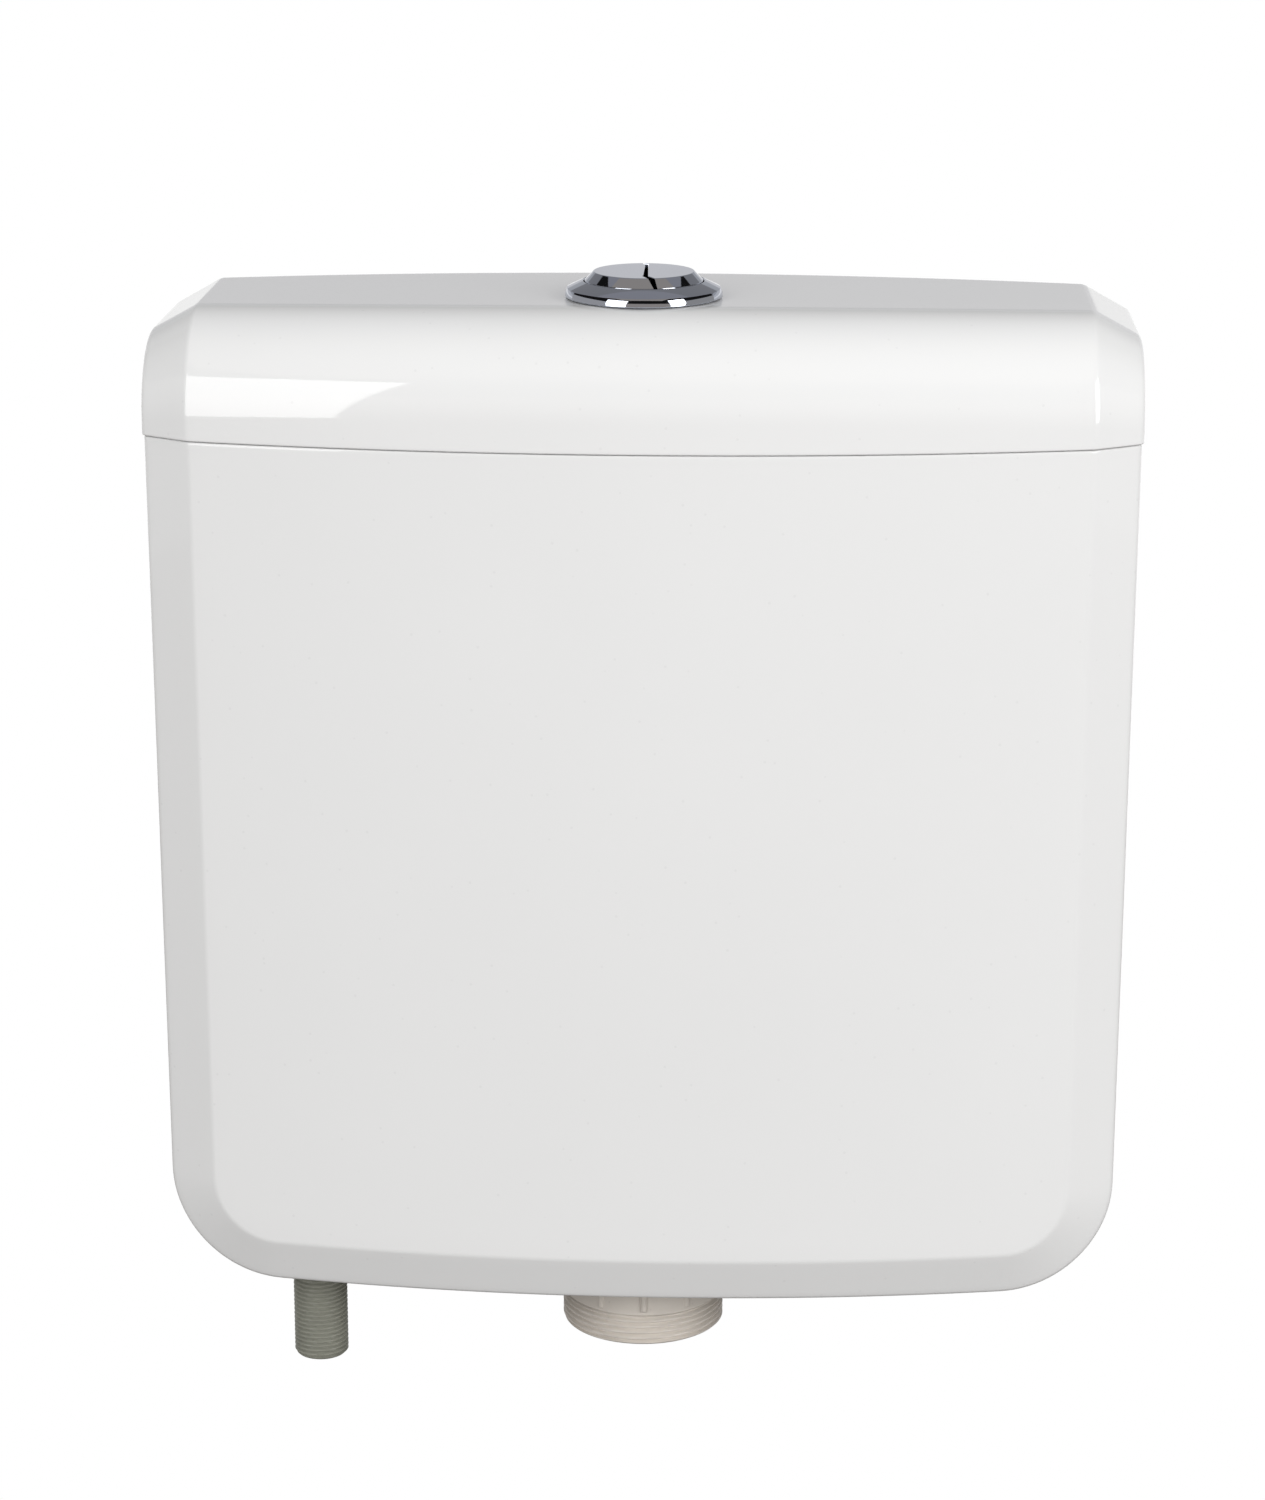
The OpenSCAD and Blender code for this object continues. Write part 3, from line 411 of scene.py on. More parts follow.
def place(piece, body, slot, *nodes):
    """Gives a piece its slot's finish, lets it ride on a body, and lets it stand for the nodes."""
    piece.data.materials.clear()
    piece.data.materials.append(finish_of(slot))
    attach(piece, body)
    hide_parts(*nodes)


# Finishes

def feed(tree, node, **inputs):
    """Sets a node's inputs: an output of another node is linked, and anything else is a value."""
    for name, value in inputs.items():
        socket = node.inputs[name.replace("_", " ")]
        if isinstance(value, bpy.types.NodeSocket):
            tree.links.new(value, socket)
        else:
            socket.default_value = value
    return node


def new_node(tree, kind, **inputs):
    """A new shader node of one kind, with its inputs set."""
    return feed(tree, tree.nodes.new("ShaderNode" + kind), **inputs)


def moulding(name, shade, rough, vary, clouds, grain, bump, flecks=0.0, **sockets):
    """A moulded finish: slow clouds of tone, a fine surface grain that changes the roughness and lifts the
    surface, and sparse dark flecks. Constant values go straight to the shader's sockets."""
    finish = bpy.data.materials.get(name)
    if finish:
        return finish
    finish = bpy.data.materials.new(name)
    finish.use_nodes = True
    tree = finish.node_tree
    where = new_node(tree, "TexCoord").outputs["Object"]
    tone = new_node(tree, "TexNoise", Vector=where, Scale=clouds, Detail=4)
    ramp = new_node(tree, "ValToRGB", Fac=tone.outputs["Fac"])
    for stop, position, share in zip(ramp.color_ramp.elements, (0.3, 0.7), (1 - vary, 1 + vary)):
        stop.position, stop.color = position, (*[min(1, c * share) for c in shade], 1)
    base = ramp.outputs["Color"]
    if flecks:
        speck = new_node(tree, "TexVoronoi", Vector=where, Scale=140)
        cut = new_node(tree, "MapRange", Value=speck.outputs["Distance"], From_Min=0.05, From_Max=0.09,
                       To_Min=1 - flecks, To_Max=1)
        mix = new_node(tree, "Mix")
        mix.data_type, mix.blend_type = 'RGBA', 'MULTIPLY'
        base = feed(tree, mix, Factor=1, A=base, B=cut.outputs["Result"]).outputs["Result"]
    fine = new_node(tree, "TexNoise", Vector=where, Scale=grain, Detail=3).outputs["Fac"]
    gloss = new_node(tree, "MapRange", Value=fine, To_Min=rough[0], To_Max=rough[1])
    lift = new_node(tree, "Bump", Strength=bump, Distance=0.0004, Height=fine)
    feed(tree, tree.nodes["Principled BSDF"], Base_Color=base, Roughness=gloss.outputs["Result"],
         Normal=lift.outputs["Normal"], **sockets)
    return finish


def finish_of(slot):
    """The finish for one of the record's material slots."""
    c = bpy.context.scene.cistern_colours
    # Name, colour, range of roughness, change of tone, scale of the clouds and of the grain, bump and flecks
    finishes = {
        "white_abs": ("gloss_white_moulding", c.gloss_white, (0.02, 0.06), 0.012, 5, 320, 0.006, 0.05),
        "chrome": ("bright_chrome", c.chrome, (0.03, 0.07), 0.03, 30, 800, 0.006),
        "cream_plastic": ("cream_moulding", c.cream, (0.3, 0.42), 0.06, 40, 700, 0.09, 0.15),
        "grey_plastic": ("grey_green_moulding", c.grey_green, (0.36, 0.5), 0.1, 60, 900, 0.12, 0.2),
        "white_plastic": ("satin_white_moulding", c.inner_white, (0.28, 0.38), 0.03, 30, 700, 0.06, 0.06),
        "blue_plastic": ("blue_moulding", c.blue, (0.26, 0.36), 0.08, 30, 700, 0.06, 0.1),
        "green_plastic": ("green_moulding", c.green, (0.26, 0.36), 0.08, 30, 700, 0.06, 0.1),
        "black_rubber": ("black_rubber_sheet", c.rubber, (0.55, 0.75), 0.2, 60, 1500, 0.25),
        "red_silicone": ("red_silicone_seal", c.silicone, (0.35, 0.5), 0.1, 60, 1200, 0.15),
        "spring_steel": ("drawn_steel", c.steel, (0.18, 0.3), 0.08, 120, 2500, 0.08),
    }
    sockets = {"white_abs": {"IOR": 1.5}, "chrome": {"Metallic": 1.0}, "spring_steel": {"Metallic": 1.0}}
    return moulding(*finishes[slot], **sockets.get(slot, {}))


# Operators

class CISTERN_OT_tank(bpy.types.Operator):
    """Builds the tank: bowed front with its bevel, sides, back, inside, rim, nut pockets and screw holes"""
    bl_idname = "cistern.tank"
    bl_label = "Tank"

    def execute(self, context):
        sz = context.scene.cistern_sizes
        outlet_hole, inlet_hole, nut_room, sunk, past = 0.03335, 0.01083, 0.0025, 0.0015, 0.01
        screw_place, screw_hole, screw_boss, boss_foot, boss_depth = 0.11, 0.004, 0.009, 0.001, 0.008
        top = sz.rim_height - RIM_ROUND
        outer, outer_edge = bag(sz, 0.0, top)
        inner, inner_edge = bag(sz, sz.wall, top)
        patches = [(at_foot(g), False, False) for g in outer + inner]
        patches.append((at_foot(rim_between(outer_edge, inner_edge, RIM_ROUND, RIM_ROUND)), False, True))
        tank = new_piece("tank_moulding", patches)
        floor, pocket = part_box("flush_valve_gasket")[0].z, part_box("flush_valve_nut")[1].z
        for name, axis, nut, hole in (("outlet", VALVE, span("flush_valve_nut").x / 2, outlet_hole),
                                      ("inlet", INLET, span("inlet_nut").x / 2, inlet_hole)):
            room = nut + nut_room
            carve(tank, drum(name + "_boss", axis, room + sz.wall, FOOT + sunk, floor), 'UNION')
            carve(tank, drum(name + "_pocket", axis, room, FOOT - past, pocket), 'DIFFERENCE')
            carve(tank, drum(name + "_hole", axis, hole, FOOT - past, floor + past), 'DIFFERENCE')
        for x in (-screw_place, screw_place):
            carve(tank, plug("screw_boss", x, 0, screw_boss, -boss_foot, -boss_depth), 'UNION')
            carve(tank, plug("screw_hole", x, 0, screw_hole, past, -2 * past), 'DIFFERENCE')
        smooth(tank)
        place(tank, "tank", "white_abs", "tank")
        return {'FINISHED'}


def lid_section(sz, x, inset, low):
    """The lid cut across its depth at each x: up the front, over its round edge, back along the top and down.
    Towards the sides the whole cut is lowered and drawn back over the bevel, and drawn in round the edge."""
    x = x[:, None]
    half = sz.rim_width / 2 + sz.lid_overhang
    d = half - inset - np.abs(x)
    i = inset + fall(d, sz.edge_round)
    t = soft(1 - d / sz.bevel_width, sz.crease / sz.bevel_width)
    y = i - sz.corner_depth - sz.lid_overhang - arch(sz, x, sz.front_bow) + sz.bevel_depth * t
    z = sz.rim_height + sz.lid_height + arch(sz, x, sz.lid_crown) - i - sz.lid_bevel_depth * t
    r = sz.lid_radius - i - sz.bevel_depth * t
    back = sz.edge_round
    a = np.linspace(0, math.pi / 2, 25)[None, :]
    up = np.array([[0, 0.05, 0.2, 0.35, 0.5, 0.65, 0.8, 0.95]])
    down = np.array([[0.04, 0.25, 0.5, 0.75, 0.98, 1]])
    across = np.linspace(0, 1, 26)[None, 1:-1]
    b = np.linspace(0, math.pi / 2, EDGE_ROWS)[None, :]
    ys = [y + 0 * up, y + r * (1 - np.cos(a)), (y + r) * (1 - across) + (-i - back) * across,
          -i - back * (1 - np.sin(b)), -i + 0 * down]
    zs = [low + (z - r - low) * up, z - r * (1 - np.sin(a)), z + 0 * across, z - back * (1 - np.cos(b)),
          (z - back) * (1 - down) + low * down]
    return xyz(x, np.concatenate(ys, 1), np.concatenate(zs, 1))


def lid_stations(sz, inset):
    """Places across the lid, close together over the outer edges and the bevels' creases."""
    half = sz.rim_width / 2 + sz.lid_overhang - inset
    side = half - bevel_rows(sz, 10)
    mid = np.linspace(-side[-1], side[-1], 92)[1:-1]
    return np.concatenate([-side, mid, side[::-1]])


class CISTERN_OT_lid(bpy.types.Operator):
    """Builds the lift-off lid: round front edge, crowned top, side bevels, lip, stiffeners and button hole"""
    bl_idname = "cistern.lid"
    bl_label = "Lid"

    def execute(self, context):
        sz = context.scene.cistern_sizes
        low, hole, past = sz.rim_height + sz.seam, 0.02435, 0.02
        skins = [lid_section(sz, lid_stations(sz, e), e, low + RIM_ROUND) for e in (0.0, sz.lid_wall)]
        edges = [np.concatenate([g[:, 0], g[::-1, -1]]) for g in skins]
        patches = [(at_foot(g), False, False) for g in skins]
        patches.append((at_foot(rim_between(edges[0], edges[1], -RIM_ROUND, RIM_ROUND)), False, True))
        ends = [at_foot(g[n]) for g in skins for n in (0, -1)]
        lid = new_piece("lid_moulding", patches, ends)
        carve(lid, new_piece("lid_lip", [(at_foot(self.lip(sz, low)), True, True)]), 'UNION')
        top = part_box("lid")[1].z
        for tool in self.stiffeners(sz, top - sz.lid_wall):
            carve(lid, tool, 'UNION')
        carve(lid, drum("button_hole", VALVE, hole, top - past, top + past), 'DIFFERENCE')
        smooth(lid)
        place(lid, "lid", "white_abs", "lid")
        return {'FINISHED'}

    def lip(self, sz, low):
        """The lip that reaches into the tank and its ledge: an L-shaped section carried round the plan of the
        tank's rim. Each corner of the section is an inset of that plan and a height."""
        ledge, outside, thick = 0.0012, 0.0046, 0.0025
        inside = outside + thick
        under, over, tip = low + 0.0008, low + 0.0034, sz.rim_height - sz.lip_depth
        section = ((ledge, under), (ledge, over), (inside, over), (inside, tip), (outside, tip),
                   (outside, under))
        ring = np.stack([bag(sz, inset, sz.rim_height)[1] for inset, _ in section])
        ring[..., 2] = np.array([height for _, height in section])[:, None]
        return ring

    def stiffeners(self, sz, roof):
        """Tools for the underside: a flat land for the bezel's nut, a ring round it and a rib to each side. A rib
        follows the roof: its section is a rectangle, carried sideways along the roof's arch."""
        ring, thick, deep, land, into = 0.032, 0.0025, 0.006, 0.0012, 0.001
        low, high = roof - deep, roof + into
        profile = np.array([[ring, low], [ring + thick, low], [ring + thick, high], [ring, high]])
        tools = [drum("nut_land", VALVE, ring + thick / 2, roof - land, high),
                 new_piece("nut_ring", [(turned(profile, VALVE, full_turn(128)), True, True)])]
        x = np.linspace(ring + thick / 2, sz.rim_width / 2 - sz.bevel_width - 1.5 * thick, 13)[:, None]
        y = VALVE.y + thick / 2 * np.array([-1, 1, 1, -1])
        z = roof + arch(sz, x, sz.lid_crown) - sz.lid_crown + np.array([-deep, -deep, into, into])
        for side in (-1, 1):
            grid = xyz(side * x, y, z)
            tools.append(new_piece("roof_rib", [(grid, False, True)], [grid[0], grid[-1]]))
        return tools


class CISTERN_OT_bezel(bpy.types.Operator):
    """Turns the chrome bezel: a sleeve through the lid and a coned flange with a round rim and a seal groove"""
    bl_idname = "cistern.bezel"
    bl_label = "Bezel"

    def execute(self, context):
        sz = context.scene.cistern_sizes
        low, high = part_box("bezel")[0].z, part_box("bezel")[1].z
        gap, clearance, thick, shelf, foot, nose_radius = 0.0003, 0.00035, 0.0019, 0.002, 0.0004, 0.0064
        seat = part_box("lid")[1].z + gap
        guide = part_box("button_guide")[0].z
        bore = sz.button_width / 2 + clearance
        sleeve, rim = bore + thick, sz.bezel_width / 2
        nose = np.radians(np.linspace(2, 28, 7))
        nose_r = rim - nose_radius * (np.cos(nose[0]) - np.cos(nose))
        nose_z = seat + foot + nose_radius * (np.sin(nose) - np.sin(nose[0]))
        groove_in, groove_out, groove_roof = sleeve + 0.00025, sleeve + 0.00155, seat + 0.001
        below = [(bore - shelf, low), (sleeve, low), (sleeve, seat), (groove_in, seat),
                 (groove_in, groove_roof), (groove_out, groove_roof), (groove_out, seat), (rim - foot, seat)]
        above = [(bore + 0.0003, high + 0.0001), (bore, high - 0.0004), (bore, guide), (bore - shelf, guide)]
        corners = below + list(zip(nose_r, nose_z)) + above
        radii = [0.0003, 0.0003, 0, 0, 0, 0, 0, 0.0001] + [0] * 6 + [0.0003, 0.0003, 0.0003, 0, 0]
        profile = round_off(corners, radii, 8)
        profile[:, 1] = np.minimum(profile[:, 1], high)
        grid = turned(profile, VALVE, full_turn(192))
        bezel = new_piece("bezel_ring", [(grid, True, True)], merge=FINE_MERGE)
        smooth(bezel, 24)
        place(bezel, "lid", "chrome", "bezel")
        return {'FINISHED'}


def split_places(sz, side):
    """Depths at which one side of the split between the buttons changes its course, from front to back."""
    flat, wide = sz.button_top / 2, sz.button_width / 2
    kink_end, step, step_length = -0.7, 0.87 if side > 0 else 0.835, 0.015
    return np.array([-wide, -flat, kink_end * flat, step * flat, (step + step_length) * flat, wide])


def split_line(sz, side, y, inset):
    """Sideways place of the split's wall: a wedge that narrows to the back, where a short step closes it to the
    eye, and that steps aside at the front, first over the flat top and then on over the bevel. Straight between
    those places."""
    at = split_places(sz, side)
    course = np.array([0.0012, 0.0012, 0.0012, 0.00038, -0.00085, -0.00085])
    kink = sz.split_kink * np.array([1, 0.58, 0, 0, 0, 0])
    gap = sz.split_gap * np.array([1.04, 1.78, 1.3, 0.6, 0.26, 0.26])
    return np.interp(y, at, course + kink) + side * (np.interp(y, at, gap) / 2 + inset)


def button_shell(sz, side, base, crown, floor):
    """One button as loops stacked along its section: down its hollow, round the skirt's foot, up outside, over
    the bevel and in over the flat top. Each loop is an arc of its radius closed along the split, both drawn in by
    the loop's inset. The arc's ends are found by going back and forth between arc and split."""
    wide, flat, shell, bevel, arc = sz.button_width / 2, sz.button_top / 2, 0.0016, 0.0033, 7
    section = [(wide - shell, base), (wide, base), (wide, crown - bevel), (flat, crown), (flat - 0.002, crown)]
    turn = round_off(section, [0, 0.0002, 0.0005, 0.0006, 0], arc)[arc:4 * arc]
    inset = np.interp(turn[:, 1], [base, crown - 0.0004, crown - 0.0002, crown], [0, 0, 0.00006, 0.0003])
    hollow = wide - shell - 0.0005
    radius = np.concatenate([[hollow, hollow, hollow], turn[:, 0], [turn[-1, 0] - 0.0004]])
    height = np.concatenate([[floor, (floor + base) / 2, base], turn[:, 1], [crown]])
    inset = np.concatenate([[0.0012] * 3, inset, [inset[-1] + 0.0003]])
    ends = []
    for sign in (1, -1):
        y = sign * radius
        for _ in range(8):
            y = sign * np.sqrt(np.maximum(0, radius ** 2 - split_line(sz, side, y, inset) ** 2))
        ends.append(y)
    back, near = ends
    start, stop = (near, back) if side > 0 else (back, near)
    first = np.arctan2(start, split_line(sz, side, start, inset))
    last = np.arctan2(stop, split_line(sz, side, stop, inset))
    last = np.where(last < first, last + TURN, last)
    a = first[:, None] + (last - first)[:, None] * np.linspace(0, 1, 97)[None, :]
    stations = np.clip(split_places(sz, side)[None, :], near[:, None], back[:, None])
    k = np.arange(51) / 10
    y = np.stack([np.interp(k, np.arange(6), row) for row in stations])[:, 1:-1]
    y = y[:, ::-1] if side > 0 else y
    x_loop = np.concatenate([radius[:, None] * np.cos(a), split_line(sz, side, y, inset[:, None])], 1)
    y_loop = np.concatenate([radius[:, None] * np.sin(a), y], 1)
    return xyz(x_loop, y_loop, height[:, None]) + np.array([VALVE.x, VALVE.y, 0])


class CISTERN_OT_buttons(bpy.types.Operator):
    """Builds the two chrome buttons: a round cap parted by a kinked split, each half with a hollow stem"""
    bl_idname = "cistern.buttons"
    bl_label = "Buttons"

    def execute(self, context):
        sz = context.scene.cistern_sizes
        thick, skirt, stem, clearance, into = 0.002, 0.0133, 0.00435, 0.0001, 0.0005
        for name, body, side in (("full_flush", "full_button", -1), ("half_flush", "half_button", 1)):
            node = name + "_button"
            rod = middle(name + "_rod")
            low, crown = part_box(node)[0].z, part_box(node)[1].z
            floor, base = crown - thick, crown - skirt
            shell = button_shell(sz, side, base, crown, floor)
            bore, top = span(name + "_rod").x / 2 + clearance, floor + into
            profile = round_off([(bore, low), (stem, low), (stem, top), (bore, top)], [0.0003, 0.0004, 0, 0], 5)
            patches = [(shell, False, True), (turned(profile, rod, full_turn(64)), True, True)]
            button = new_piece(name + "_cap", patches, [shell[0], shell[-1]], merge=FINE_MERGE)
            smooth(button, 24)
            place(button, body, "chrome", node)
        return {'FINISHED'}


def thread(z, angle, pitch, depth):
    """Height of a right-hand thread over its root: a ridge once in each pitch, moving up by a pitch each turn. It
    is a cosine wave, stretched and clipped for a flat root and crest, to a power below one for full flanks."""
    phase = (z / pitch - angle / TURN) % 1.0
    wave = 0.5 - 0.5 * np.cos(TURN * phase)
    return depth * np.clip(1.25 * wave - 0.12, 0, 1) ** 0.8


class CISTERN_OT_outlet(bpy.types.Operator):
    """Builds the threaded outlet: tail with its thread, ribbed band, shank, flange and valve seat. A profile is
    turned, the thread's height is added to its root, and each rib is half an ellipse across"""
    bl_idname = "cistern.outlet"
    bl_label = "Outlet"

    def execute(self, context):
        sz = context.scene.cistern_sizes
        low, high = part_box("flush_valve_base")[0].z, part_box("flush_valve_base")[1].z
        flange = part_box("flush_valve_gasket")[1].z
        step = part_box("flush_valve_nut")[0].z
        crest, bore, shank, chamfer = 0.03125, 0.026, 0.033, 0.0011
        depth = THREAD_DEPTH * sz.outlet_pitch
        root, band = crest - depth, crest - 0.0006
        thread_top, deck = low + 0.0123, flange + 0.0045
        rim = span("flush_valve_base").x / 2
        corners = [(bore, low), (crest - chamfer, low), (crest, low + chamfer), (crest, thread_top),
                   (band, thread_top), (band, step), (shank, step), (shank, flange), (rim, flange), (rim, deck),
                   (bore + 0.006, deck), (bore + 0.0035, high), (bore, high)]
        radii = [0.0008] + [0.0002] * 4 + [0.0004, 0.0004, 0.0003, 0.0006, 0.001, 0.001, 0.0006, 0.0006]
        profile = refine(round_off(corners, radii, 5), 0.0002, bore + 0.004, step)
        first, rib_arc, rib_half, rib_height = math.radians(-87), 0.062, 0.0012, 0.0011
        gap = TURN / sz.outlet_ribs
        near = np.concatenate([np.linspace(-rib_arc, rib_arc, 13),
                               np.linspace(rib_arc, gap - rib_arc, 15)[1:-1]])
        angles = (first + gap * np.arange(sz.outlet_ribs)[:, None] + near[None, :]).ravel()
        r, z = profile[None, :, 0], profile[None, :, 1]
        outside = r > bore + 0.003
        threaded = outside & (z <= thread_top + 1e-6)
        ribbed = outside & (r < band + 1e-6) & (z > thread_top)
        ridge = thread(z - low, angles[:, None], sz.outlet_pitch, depth)
        run_in, run_out = 0.0004, 0.0005
        fade = np.clip((thread_top - z) / run_out, 0, 1) * np.clip((z - low) / run_in, 0, 1)
        r = np.where(threaded, np.minimum(r, root + ridge * fade), r)
        away = np.abs((angles - first + gap / 2) % gap - gap / 2)[:, None] * band
        rib = np.sqrt(np.maximum(0, 1 - (away / rib_half) ** 2)) * rib_height
        rib_start, rib_rise, rib_stop = 0.0012, 0.0009, 0.0004
        ends = np.sqrt(np.clip((z - thread_top - rib_start) / rib_rise, 0, 1)) * (z < step - rib_stop)
        r = np.where(ribbed, r + rib * ends, r)
        grid = around(r, z, VALVE, angles)
        outlet = new_piece("outlet_moulding", [(grid, True, True)], merge=FINE_MERGE)
        smooth(outlet, 38)
        place(outlet, "tank", "cream_plastic", "flush_valve_base")
        return {'FINISHED'}


class CISTERN_OT_inlet(bpy.types.Operator):
    """Builds the inlet riser: threaded tail with a chamfered end and a plain neck, flange and plain tube"""
    bl_idname = "cistern.inlet"
    bl_label = "Inlet"

    def execute(self, context):
        sz = context.scene.cistern_sizes
        low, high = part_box("inlet_riser")[0].z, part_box("inlet_riser")[1].z
        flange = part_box("inlet_gasket")[1].z
        crest, bore, tube, chamfer = 0.0104775, 0.006, 0.0095, 0.0012
        depth = THREAD_DEPTH * sz.inlet_pitch
        rim = span("inlet_riser").x / 2
        deck, neck, neck_half = flange + 0.004, FOOT + 0.001, 0.0017
        corners = [(bore, low), (crest - chamfer, low), (crest, low + chamfer), (crest, flange), (rim, flange),
                   (rim, deck), (tube + 0.002, deck), (tube, flange + 0.01), (tube, high), (bore, high)]
        radii = [0.0005, 0.0002, 0.0002, 0.0002, 0.0004, 0.0008, 0.0008, 0.0008, 0.0005, 0.0004]
        profile = refine(round_off(corners, radii, 5), 0.00017, bore + 0.003, flange + 1e-4)
        angles = full_turn(108)
        r, z = profile[None, :, 0], profile[None, :, 1]
        threaded = (r > bore + 0.002) & (z < flange) & (r < crest + 1e-5)
        ridge = thread(z - low, angles[:, None], sz.inlet_pitch, depth)
        off_neck = np.abs(z - neck - neck_half) / neck_half > 0.999
        r = np.where(threaded, np.minimum(r, crest - depth + ridge * off_neck), r)
        grid = around(r, z, INLET, angles)
        inlet = new_piece("inlet_moulding", [(grid, True, True)], merge=FINE_MERGE)
        smooth(inlet, 38)
        place(inlet, "tank", "grey_plastic", "inlet_riser")
        return {'FINISHED'}


class CISTERN_OT_springs(bpy.types.Operator):
    """Winds the two return springs. A round wire follows a helix whose rise
    starts and ends slowly, and its ends are drawn to a point"""
    bl_idname = "cistern.springs"
    bl_label = "Springs"

    def execute(self, context):
        sz = context.scene.cistern_sizes
        flat, closed, sway = 0.6, 0.035, 0.02
        for name, joint in (("full_button_spring", "full_flush_press"),
                            ("half_button_spring", "half_flush_press")):
            low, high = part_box(name)
            mid = (low + high) / 2
            wire = sz.spring_wire / 2
            coil = (high.x - low.x) / 2 - wire
            t = np.linspace(0, 1, sz.spring_turns * 40 + 1)
            ease = np.clip((t * sz.spring_turns - flat) / (sz.spring_turns - 2 * flat), 0, 1)
            rise = high.z - low.z - 2 * wire
            z = low.z + wire + rise * (closed * t + (1 - closed) * (ease - sway * np.sin(TURN * ease)))
            a = TURN * sz.spring_turns * t
            b = full_turn(12)[None, :]
            thin = np.where((t == 0) | (t == 1), 0.0, 1.0)[:, None]
            r = coil + wire * np.cos(b) * thin
            grid = xyz(mid.x + r * np.cos(a)[:, None], mid.y + r * np.sin(a)[:, None],
                          z[:, None] + wire * np.sin(b) * thin)
            spring = new_piece(name + "_wire", [(grid, False, True)], merge=1e-7)
            smooth(spring, 50)
            place(spring, "lid", "spring_steel", name)
            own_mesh(spring)
        return {'FINISHED'}


class CISTERN_OT_inner_pieces(bpy.types.Operator):
    """Gives every other node its finish, on a copy with merged points, joined flat faces and rounded edges"""
    bl_idname = "cistern.inner_pieces"
    bl_label = "Inner pieces"

    def execute(self, context):
        bodies = frame["record"]["behaviour"]["bodies"]
        body_of = {n: b for b, members in bodies.items() for n in members}
        for part in frame["record"]["subparts"]:
            node, slot = part["node"], part["material_slot"]
            source = frame["nodes"][node]
            if source.hide_render:
                continue
            mesh = source.data.copy()
            clean(mesh, FINE_MERGE, outwards=False)
            work = bmesh.new()
            work.from_mesh(mesh)
            bmesh.ops.dissolve_limit(work, angle_limit=math.radians(0.5), verts=work.verts, edges=work.edges)
            work.to_mesh(mesh)
            work.free()
            piece = bpy.data.objects.new(node + "_finished", mesh)
            context.scene.collection.objects.link(piece)
            edge = piece.modifiers.new("soft_edges", 'BEVEL')
            edge.width, edge.segments = 0.00022, 2
            edge.limit_method, edge.angle_limit = 'ANGLE', math.radians(50)
            smooth(piece)
            place(piece, body_of[node], slot, node)
        return {'FINISHED'}


# Stage

def towards(turn, tilt):
    """Direction that is turned from the front to the right and tilted up, both in degrees."""
    turn, tilt = math.radians(turn), math.radians(tilt)
    return Vector((math.sin(turn) * math.cos(tilt), -math.cos(turn) * math.cos(tilt), math.sin(tilt)))


def facing(name, data, at, aim):
    """A lamp or camera that stands at one point and faces another."""
    item = bpy.data.objects.new(name, data)
    bpy.context.scene.collection.objects.link(item)
    item.location = at
    item.rotation_euler = (aim - at).to_track_quat('-Z', 'Y').to_euler()
    return item


def two_ways(tree, lit, shown, end):
    """Joins two shaders: rays from the camera, mirrors and glass meet the shown one, other rays the lit one."""
    links = tree.links
    path, mix = new_node(tree, "LightPath"), new_node(tree, "MixShader")
    add, more = new_node(tree, "Math"), new_node(tree, "Math")
    add.use_clamp = more.use_clamp = True
    links.new(path.outputs["Is Camera Ray"], add.inputs[0])
    links.new(path.outputs["Is Glossy Ray"], add.inputs[1])
    links.new(add.outputs["Value"], more.inputs[0])
    links.new(path.outputs["Is Transmission Ray"], more.inputs[1])
    links.new(more.outputs["Value"], mix.inputs["Fac"])
    links.new(lit.outputs[0], mix.inputs[1])
    links.new(shown.outputs[0], mix.inputs[2])
    links.new(mix.outputs["Shader"], tree.nodes[end].inputs["Surface"])


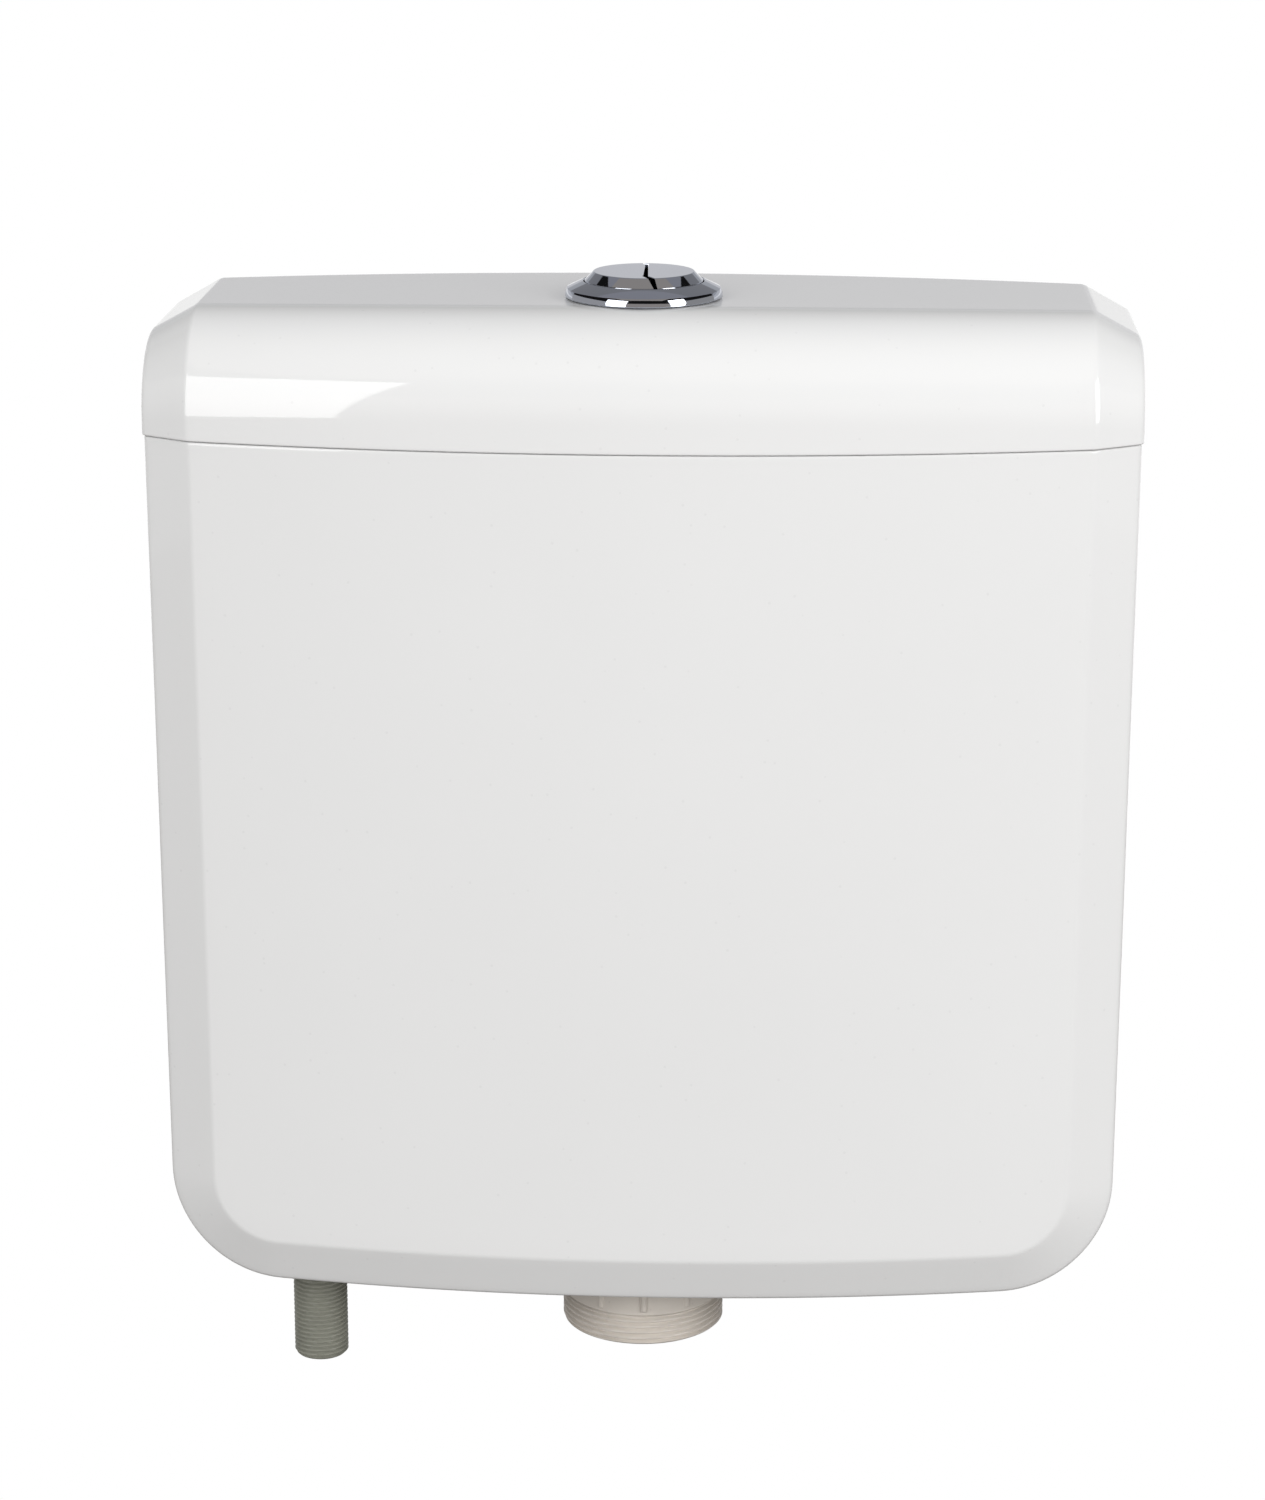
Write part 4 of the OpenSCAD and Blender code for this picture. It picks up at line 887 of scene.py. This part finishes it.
class CISTERN_OT_stage(bpy.types.Operator):
    """Sets the pale backdrop, the surround, the soft lamps, the mirrored room and the photograph's camera"""
    bl_idname = "cistern.stage"
    bl_label = "Stage"

    def execute(self, context):
        scene = context.scene
        scene.view_settings.view_transform = 'Standard'
        self.backdrop()
        self.sky(scene)
        self.lamps()
        self.room()
        self.camera(scene)
        return {'FINISHED'}

    def lamps(self):
        """Two rectangular soft lamps that face the middle of the part from the same distance."""
        aim, away = Vector((0, -0.06, 0.05)), 3.2
        for name, turn, tilt, wide, high, watts in (("left_softbox", -39, 12.5, 1.75, 2.3, 49),
                                                    ("right_softbox", 54, 13, 1.36, 2.25, 66)):
            data = bpy.data.lights.new(name, 'AREA')
            data.shape, data.size, data.size_y, data.energy = 'RECTANGLE', wide, high, watts
            facing(name, data, aim + away * towards(turn, tilt), aim)

    def backdrop(self):
        """A floor well below the cistern that curves up into a wall behind it: a profile carried sideways."""
        floor, back, radius, near, top, half = -0.75, 2.2, 0.8, -4, 3.5, 5
        a = np.linspace(0, math.pi / 2, 25)
        y = np.concatenate([[near], back - radius + radius * np.sin(a), [back]])
        z = np.concatenate([[floor], floor + radius * (1 - np.cos(a)), [top]])
        x = np.linspace(-half, half, 11)[:, None]
        sweep = new_piece("studio_sweep", [(xyz(x, y, z), False, False)])
        sweep.data.shade_smooth()
        paint = bpy.data.materials.new("pale_sweep")
        paint.use_nodes = True
        tree = paint.node_tree
        grey = feed(tree, tree.nodes["Principled BSDF"], Base_Color=(0.12, 0.112, 0.106, 1), Roughness=0.9)
        two_ways(tree, grey, new_node(tree, "Emission"), "Material Output")
        sweep.data.materials.append(paint)

    def sky(self, scene):
        """An even surround: white where it is seen or mirrored, dimmer as a source of light."""
        world = bpy.data.worlds.new("studio_surround")
        world.use_nodes = True
        tree, white = world.node_tree, (1, 1, 1, 1)
        fill = feed(tree, tree.nodes["Background"], Color=white, Strength=0.51)
        two_ways(tree, fill, new_node(tree, "Background", Color=white), "World Output")
        scene.world = world

    def room(self):
        """Grey walls and ceiling of the room, each a flat card that only mirrors show."""
        wide, eaves, back, near, low, high, top = 3, 2.05, 2.1, -3.6, -0.7, 2.6, 2.75
        bend, lintel, side_near, side_back = 0.2, 1.15, 1.5, 0.75
        dark = (0.01, 0.01, 0.01)
        cards = {}
        # Cards across the whole width, each between two edges at a depth and a height
        strips = [
            ("floor", near, low, back, low, (0.2, 0.18, 0.165)),
            ("back_low", back, 0.15, back, 0.5, (0.67, 0.67, 0.69)),
            ("back_mid", back, 0.5, back, 0.9, (0.47, 0.48, 0.5)),
            ("back_high", back, 0.9, back, high, (0.27, 0.27, 0.28)),
            ("front", near, low, near, lintel, (0.4, 0.36, 0.33)),
            ("front_lintel", near, lintel, near, top, dark),
            ("ceiling_back", back, high, bend, top, (0.33, 0.33, 0.355)),
            ("ceiling", bend, top, near, top, (0.4, 0.365, 0.33)),
        ]
        for name, y, z, y_to, z_to, shade in strips:
            cards[name] = [(-wide, y, z), (wide, y, z), (wide, y_to, z_to), (-wide, y_to, z_to)], shade
        for name, x, shade in (("left", -wide, (0.48, 0.47, 0.47)), ("right", wide, (0.4, 0.39, 0.38))):
            inner = math.copysign(eaves, x)
            over = [(x, back, high), (inner, back, high), (inner, near, high), (x, near, high)]
            foot, head = [(x, back, low), (x, near, low)], [(x, near, side_near), (x, back, side_back)]
            cards[name] = foot + head, shade
            cards[name + "_lintel"] = head[::-1] + [over[3], over[0]], dark
            cards[name + "_eaves"] = over, dark
        for name, (corners, shade) in cards.items():
            name = "room_" + name
            mesh = bpy.data.meshes.new(name)
            mesh.from_pydata(corners, [], [(0, 1, 2, 3)])
            paint = bpy.data.materials.new(name + "_paint")
            paint.use_nodes = True
            tree = paint.node_tree
            glow = new_node(tree, "Emission", Color=(*shade, 1))
            feed(tree, tree.nodes["Material Output"], Surface=glow.outputs["Emission"])
            mesh.materials.append(paint)
            card = bpy.data.objects.new(name, mesh)
            bpy.context.scene.collection.objects.link(card)
            card.visible_camera = card.visible_diffuse = False
            card.visible_shadow = card.visible_transmission = False

    def camera(self, scene):
        """The photograph's camera, fitted to its edges: aim, direction and distance from it, and lens."""
        data = bpy.data.cameras.new("photo_camera")
        data.lens, data.sensor_width, data.sensor_fit = 95.866, 36, 'AUTO'
        aim, away = Vector((-0.004169, -0.0575, 0.203177 + FOOT)), 1.512088
        scene.camera = facing("photo_camera", data, aim + away * towards(2.736, 15.627), aim)


class CISTERN_PT_panel(bpy.types.Panel):
    """Lists the sizes, the colours and the operators"""
    bl_label = "Cistern"
    bl_idname = "CISTERN_PT_panel"
    bl_space_type = 'VIEW_3D'
    bl_region_type = 'UI'
    bl_category = "Cistern"

    def draw(self, context):
        for group in (context.scene.cistern_sizes, context.scene.cistern_colours):
            column = self.layout.box().column(align=True)
            for name in group.__annotations__:
                column.prop(group, name)
        column = self.layout.column(align=True)
        for operator in STEPS:
            column.operator(operator.bl_idname)


STEPS = (CISTERN_OT_tank, CISTERN_OT_lid, CISTERN_OT_bezel, CISTERN_OT_buttons, CISTERN_OT_outlet,
         CISTERN_OT_inlet, CISTERN_OT_springs, CISTERN_OT_inner_pieces, CISTERN_OT_stage)
CLASSES = (CisternSizes, CisternColours) + STEPS + (CISTERN_PT_panel,)


def register():
    for item in CLASSES:
        bpy.utils.register_class(item)
    bpy.types.Scene.cistern_sizes = PointerProperty(type=CisternSizes)
    bpy.types.Scene.cistern_colours = PointerProperty(type=CisternColours)


def unregister():
    del bpy.types.Scene.cistern_colours
    del bpy.types.Scene.cistern_sizes
    for item in reversed(CLASSES):
        bpy.utils.unregister_class(item)


def main():
    """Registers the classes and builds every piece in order."""
    register()
    for operator in STEPS:
        getattr(bpy.ops.cistern, operator.bl_idname.split(".")[1])()


if __name__ == "__main__":
    main()
